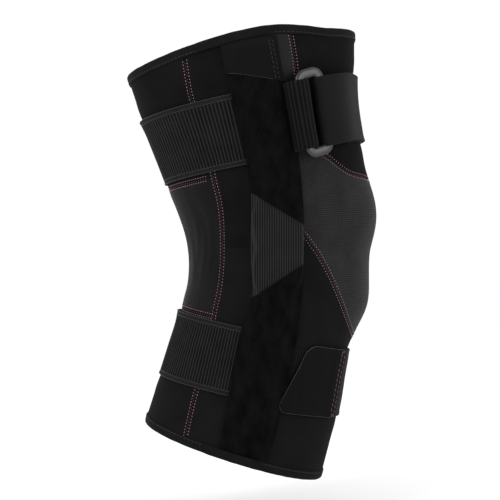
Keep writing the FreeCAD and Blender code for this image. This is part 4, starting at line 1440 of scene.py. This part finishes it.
def make_pocket(name, side):
    """Upper and lower loop covers, the ribbed middle and the cap flap, on one side of the knee."""
    rear, front, low_rear, low_front = (value * MM for value in RIB_BORDER.values())

    def upper_low(p):
        return rear + (front - rear) * p

    def upper_high(p):
        return at_rim(p, TOP_LINE, -UNDER_TAPE)

    def lower_high(p):
        return low_rear + (low_front - low_rear) * p

    def lower_low(p):
        return at_rim(p, BOTTOM_LINE, UNDER_TAPE)

    loop = LOOP, "loop_fabric", side
    for half, low, high, body in (
        ("upper", upper_low, upper_high, "thigh"),
        ("lower", lower_low, lower_high, "calf"),
    ):
        obj = pocket_sheet(f"{name}_{half}_loop_cover", *pocket_patch(low, high), *loop, 0.0006, COVER_THICK)
        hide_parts(f"{name}_{half}_pocket")
        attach(obj, body)

    tuck = 0.006
    for half, low, high in (
        ("upper", lambda p: 0.0 * p, lambda p: upper_low(p) + tuck),
        ("lower", lambda p: lower_high(p) - tuck, lambda p: 0.0 * p),
    ):
        x, z, sides, uv = pocket_patch(low, high, 0.0018, 0.00030, 0.0004)
        ridge = 0.00030 * ribs(x, FINE_PITCH)
        joined = "low" if half == "upper" else "high"
        obj = pocket_sheet(f"{name}_rib_panel_{half}", x, z, sides, uv, FINE_RIBBED, "ribbed_elastic", side,
                           -0.0004, 0.0007, ridge, (joined,), 70.0)
        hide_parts(f"{name}_rib_panel")
        bend(obj, half == "upper")

    flap_low = 0.1215

    def flap_bottom(p):
        return flap_low + 0.003 - 0.006 * p

    def flap_top(p):
        return upper_high(p) - 0.0008

    for inset in (0.0035, 0.0060):
        share = 1 - inset / POCKET_WIDTH
        z = np.linspace(float(flap_bottom(share)) + 0.001, float(flap_top(share)) - 0.003, 40)
        x = across_pocket(z, share)
        line = pocket(x, z, COVER_THICK + 0.0009 + 0.0013, side)
        normal = np.broadcast_to(np.array([0.1, side, 0.0]), line.shape)
        row = stitch_mesh(f"{name}_cap_flap_stitch", [(line, normal)], GREY, None, length=0.0019, gap=0.0014,
                          thick=0.00024)
        hang_flap(row, name)
    share = np.linspace(0.01, 0.99, 40)
    z = flap_bottom(share) + 0.0003
    x = across_pocket(z, share)
    line = pocket(x, z, COVER_THICK + 0.0015, side)
    trim = cord_along(f"{name}_cap_flap_cut_edge", line, 0.00035, CUT_EDGE)
    hang_flap(trim, name)
    grid = pocket_patch(flap_bottom, flap_top, 0.0018)
    base = COVER_THICK + 0.0009
    obj = pocket_sheet(f"{name}_cap_flap_cloth", *grid, TAB, "loop_fabric", side, base, 0.0013)
    hang_flap(obj, name)


def make_pads():
    """The foam pad under each hinge: a thin crowned pillow with rounded edges."""
    for name in ("lateral", "medial"):
        low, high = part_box(f"{name}_condyle_pad")
        heart = (Vector(low) + Vector(high)) / 2
        size = Vector(high) - Vector(low)
        size.z *= 0.92
        turns = np.linspace(0, 2 * math.pi, 49)[:-1]
        rings = [0.0, 0.25, 0.5, 0.72, 0.88, 0.97, 1.0]
        straight = (size.z - size.x) / 2
        points, uvs = [], []
        for face in (1, -1):
            for share in rings:
                crown = math.sqrt(max(0.0, 1 - share ** 4)) * 0.5
                for turn in turns:
                    x = size.x / 2 * share * math.cos(turn)
                    z = size.x / 2 * share * math.sin(turn) + straight * share * math.copysign(
                        min(1.0, abs(math.sin(turn)) * 3), math.sin(turn)
                    )
                    y = heart.y + face * crown * size.y
                    points.append((heart.x + x, y, heart.z + z))
                    uvs.append((x, z))
        columns = len(turns)
        rows = len(rings)
        faces = grid_faces(rows, columns, 0, True) + grid_faces(rows, columns, rows * columns, True)
        obj = finish_mesh(f"{name}_condyle_pad_foam", points, faces, uvs, FOAM, 60.0)
        work = bmesh.new()
        work.from_mesh(obj.data)
        bmesh.ops.remove_doubles(work, verts=work.verts, dist=0.00002)
        bmesh.ops.recalc_face_normals(work, faces=work.faces)
        work.to_mesh(obj.data)
        work.free()
        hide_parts(f"{name}_condyle_pad")
        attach(obj, f"{name}_link")


# ------------------------------------------------------------------ hinge metal, kept from CAD

HARD_NODES = {
    "upper_bar": STEEL,
    "lower_bar": STEEL,
    "inner_plate": STEEL,
    "outer_plate": STEEL,
    "rivets": BRIGHT,
    "stop_pins": BRIGHT,
    "washers": NYLON,
    "upper_tip_cap": VINYL,
    "lower_tip_cap": VINYL,
}


def finish_hinges():
    for name in ("lateral", "medial"):
        for part, material in HARD_NODES.items():
            mesh = frame["nodes"][f"{name}_{part}"].data
            mesh.materials.clear()
            mesh.materials.append(material)


# ------------------------------------------------------------------ studio


def make_studio():
    """A pale floor, soft light all round and a camera level with the knee, square to the lateral side."""
    world = bpy.data.worlds.new("studio")
    bpy.context.scene.world = world
    world.use_nodes = True
    background = world.node_tree.nodes["Background"]
    background.inputs["Color"].default_value = (1.0, 1.0, 1.0, 1)
    background.inputs["Strength"].default_value = 1.03

    floor_mesh = bpy.data.meshes.new("floor")
    reach = 6.0
    floor_mesh.from_pydata(
        [(-reach, -reach, 0), (reach, -reach, 0), (reach, reach, 0), (-reach, reach, 0)], [], [(0, 1, 2, 3)]
    )
    floor = new_object("floor", floor_mesh)
    floor.location.z = cad_low.z - 0.030
    floor_paint = fabric("floor_paint", (0.97, 0.97, 0.97), 0.95, 0.0)
    floor_mesh.materials.append(floor_paint)

    def area(name, place, size, power, aim=(0, 0, 0)):
        lamp = bpy.data.lights.new(name, "AREA")
        lamp.size = size
        lamp.energy = power
        obj = new_object(name, lamp)
        obj.location = place
        obj.rotation_euler = (Vector(aim) - Vector(place)).to_track_quat("-Z", "Y").to_euler()

    area("key_light", (-0.9, -0.9, 0.7), 0.6, 9.0)
    area("fill_light", (1.0, -0.8, 0.3), 0.6, 5.0)

    distance = 0.9
    sensor = 36.0
    view_width = 0.390
    lens = bpy.data.cameras.new("camera")
    lens.sensor_width = sensor
    lens.lens = sensor * distance / view_width
    camera = new_object("camera", lens)
    camera.location = (-0.0210, -distance, -0.0016)
    camera.rotation_euler = (math.radians(90), 0, 0)
    lens.clip_start = 0.05
    bpy.context.scene.camera = camera
    bpy.context.scene.view_settings.view_transform = "Standard"


make_sleeve()
make_binding("top_binding_tape", top_edge, 1, "top_binding", True, 0.0052)
make_binding("bottom_binding_tape", bottom_edge, -1, "bottom_binding", False, 0.0052)
make_seams()
make_rim_stitches()
back_strap("thigh_back_strap_elastic", "thigh_back_strap", THIGH_UP, True)
back_strap("calf_back_strap_elastic", "calf_back_strap", CALF_UP, False)
make_thigh_front()
make_calf_front()
for pocket_name, pocket_side in (("lateral", -1), ("medial", 1)):
    make_pocket(pocket_name, pocket_side)
make_pads()
finish_hinges()
make_studio()
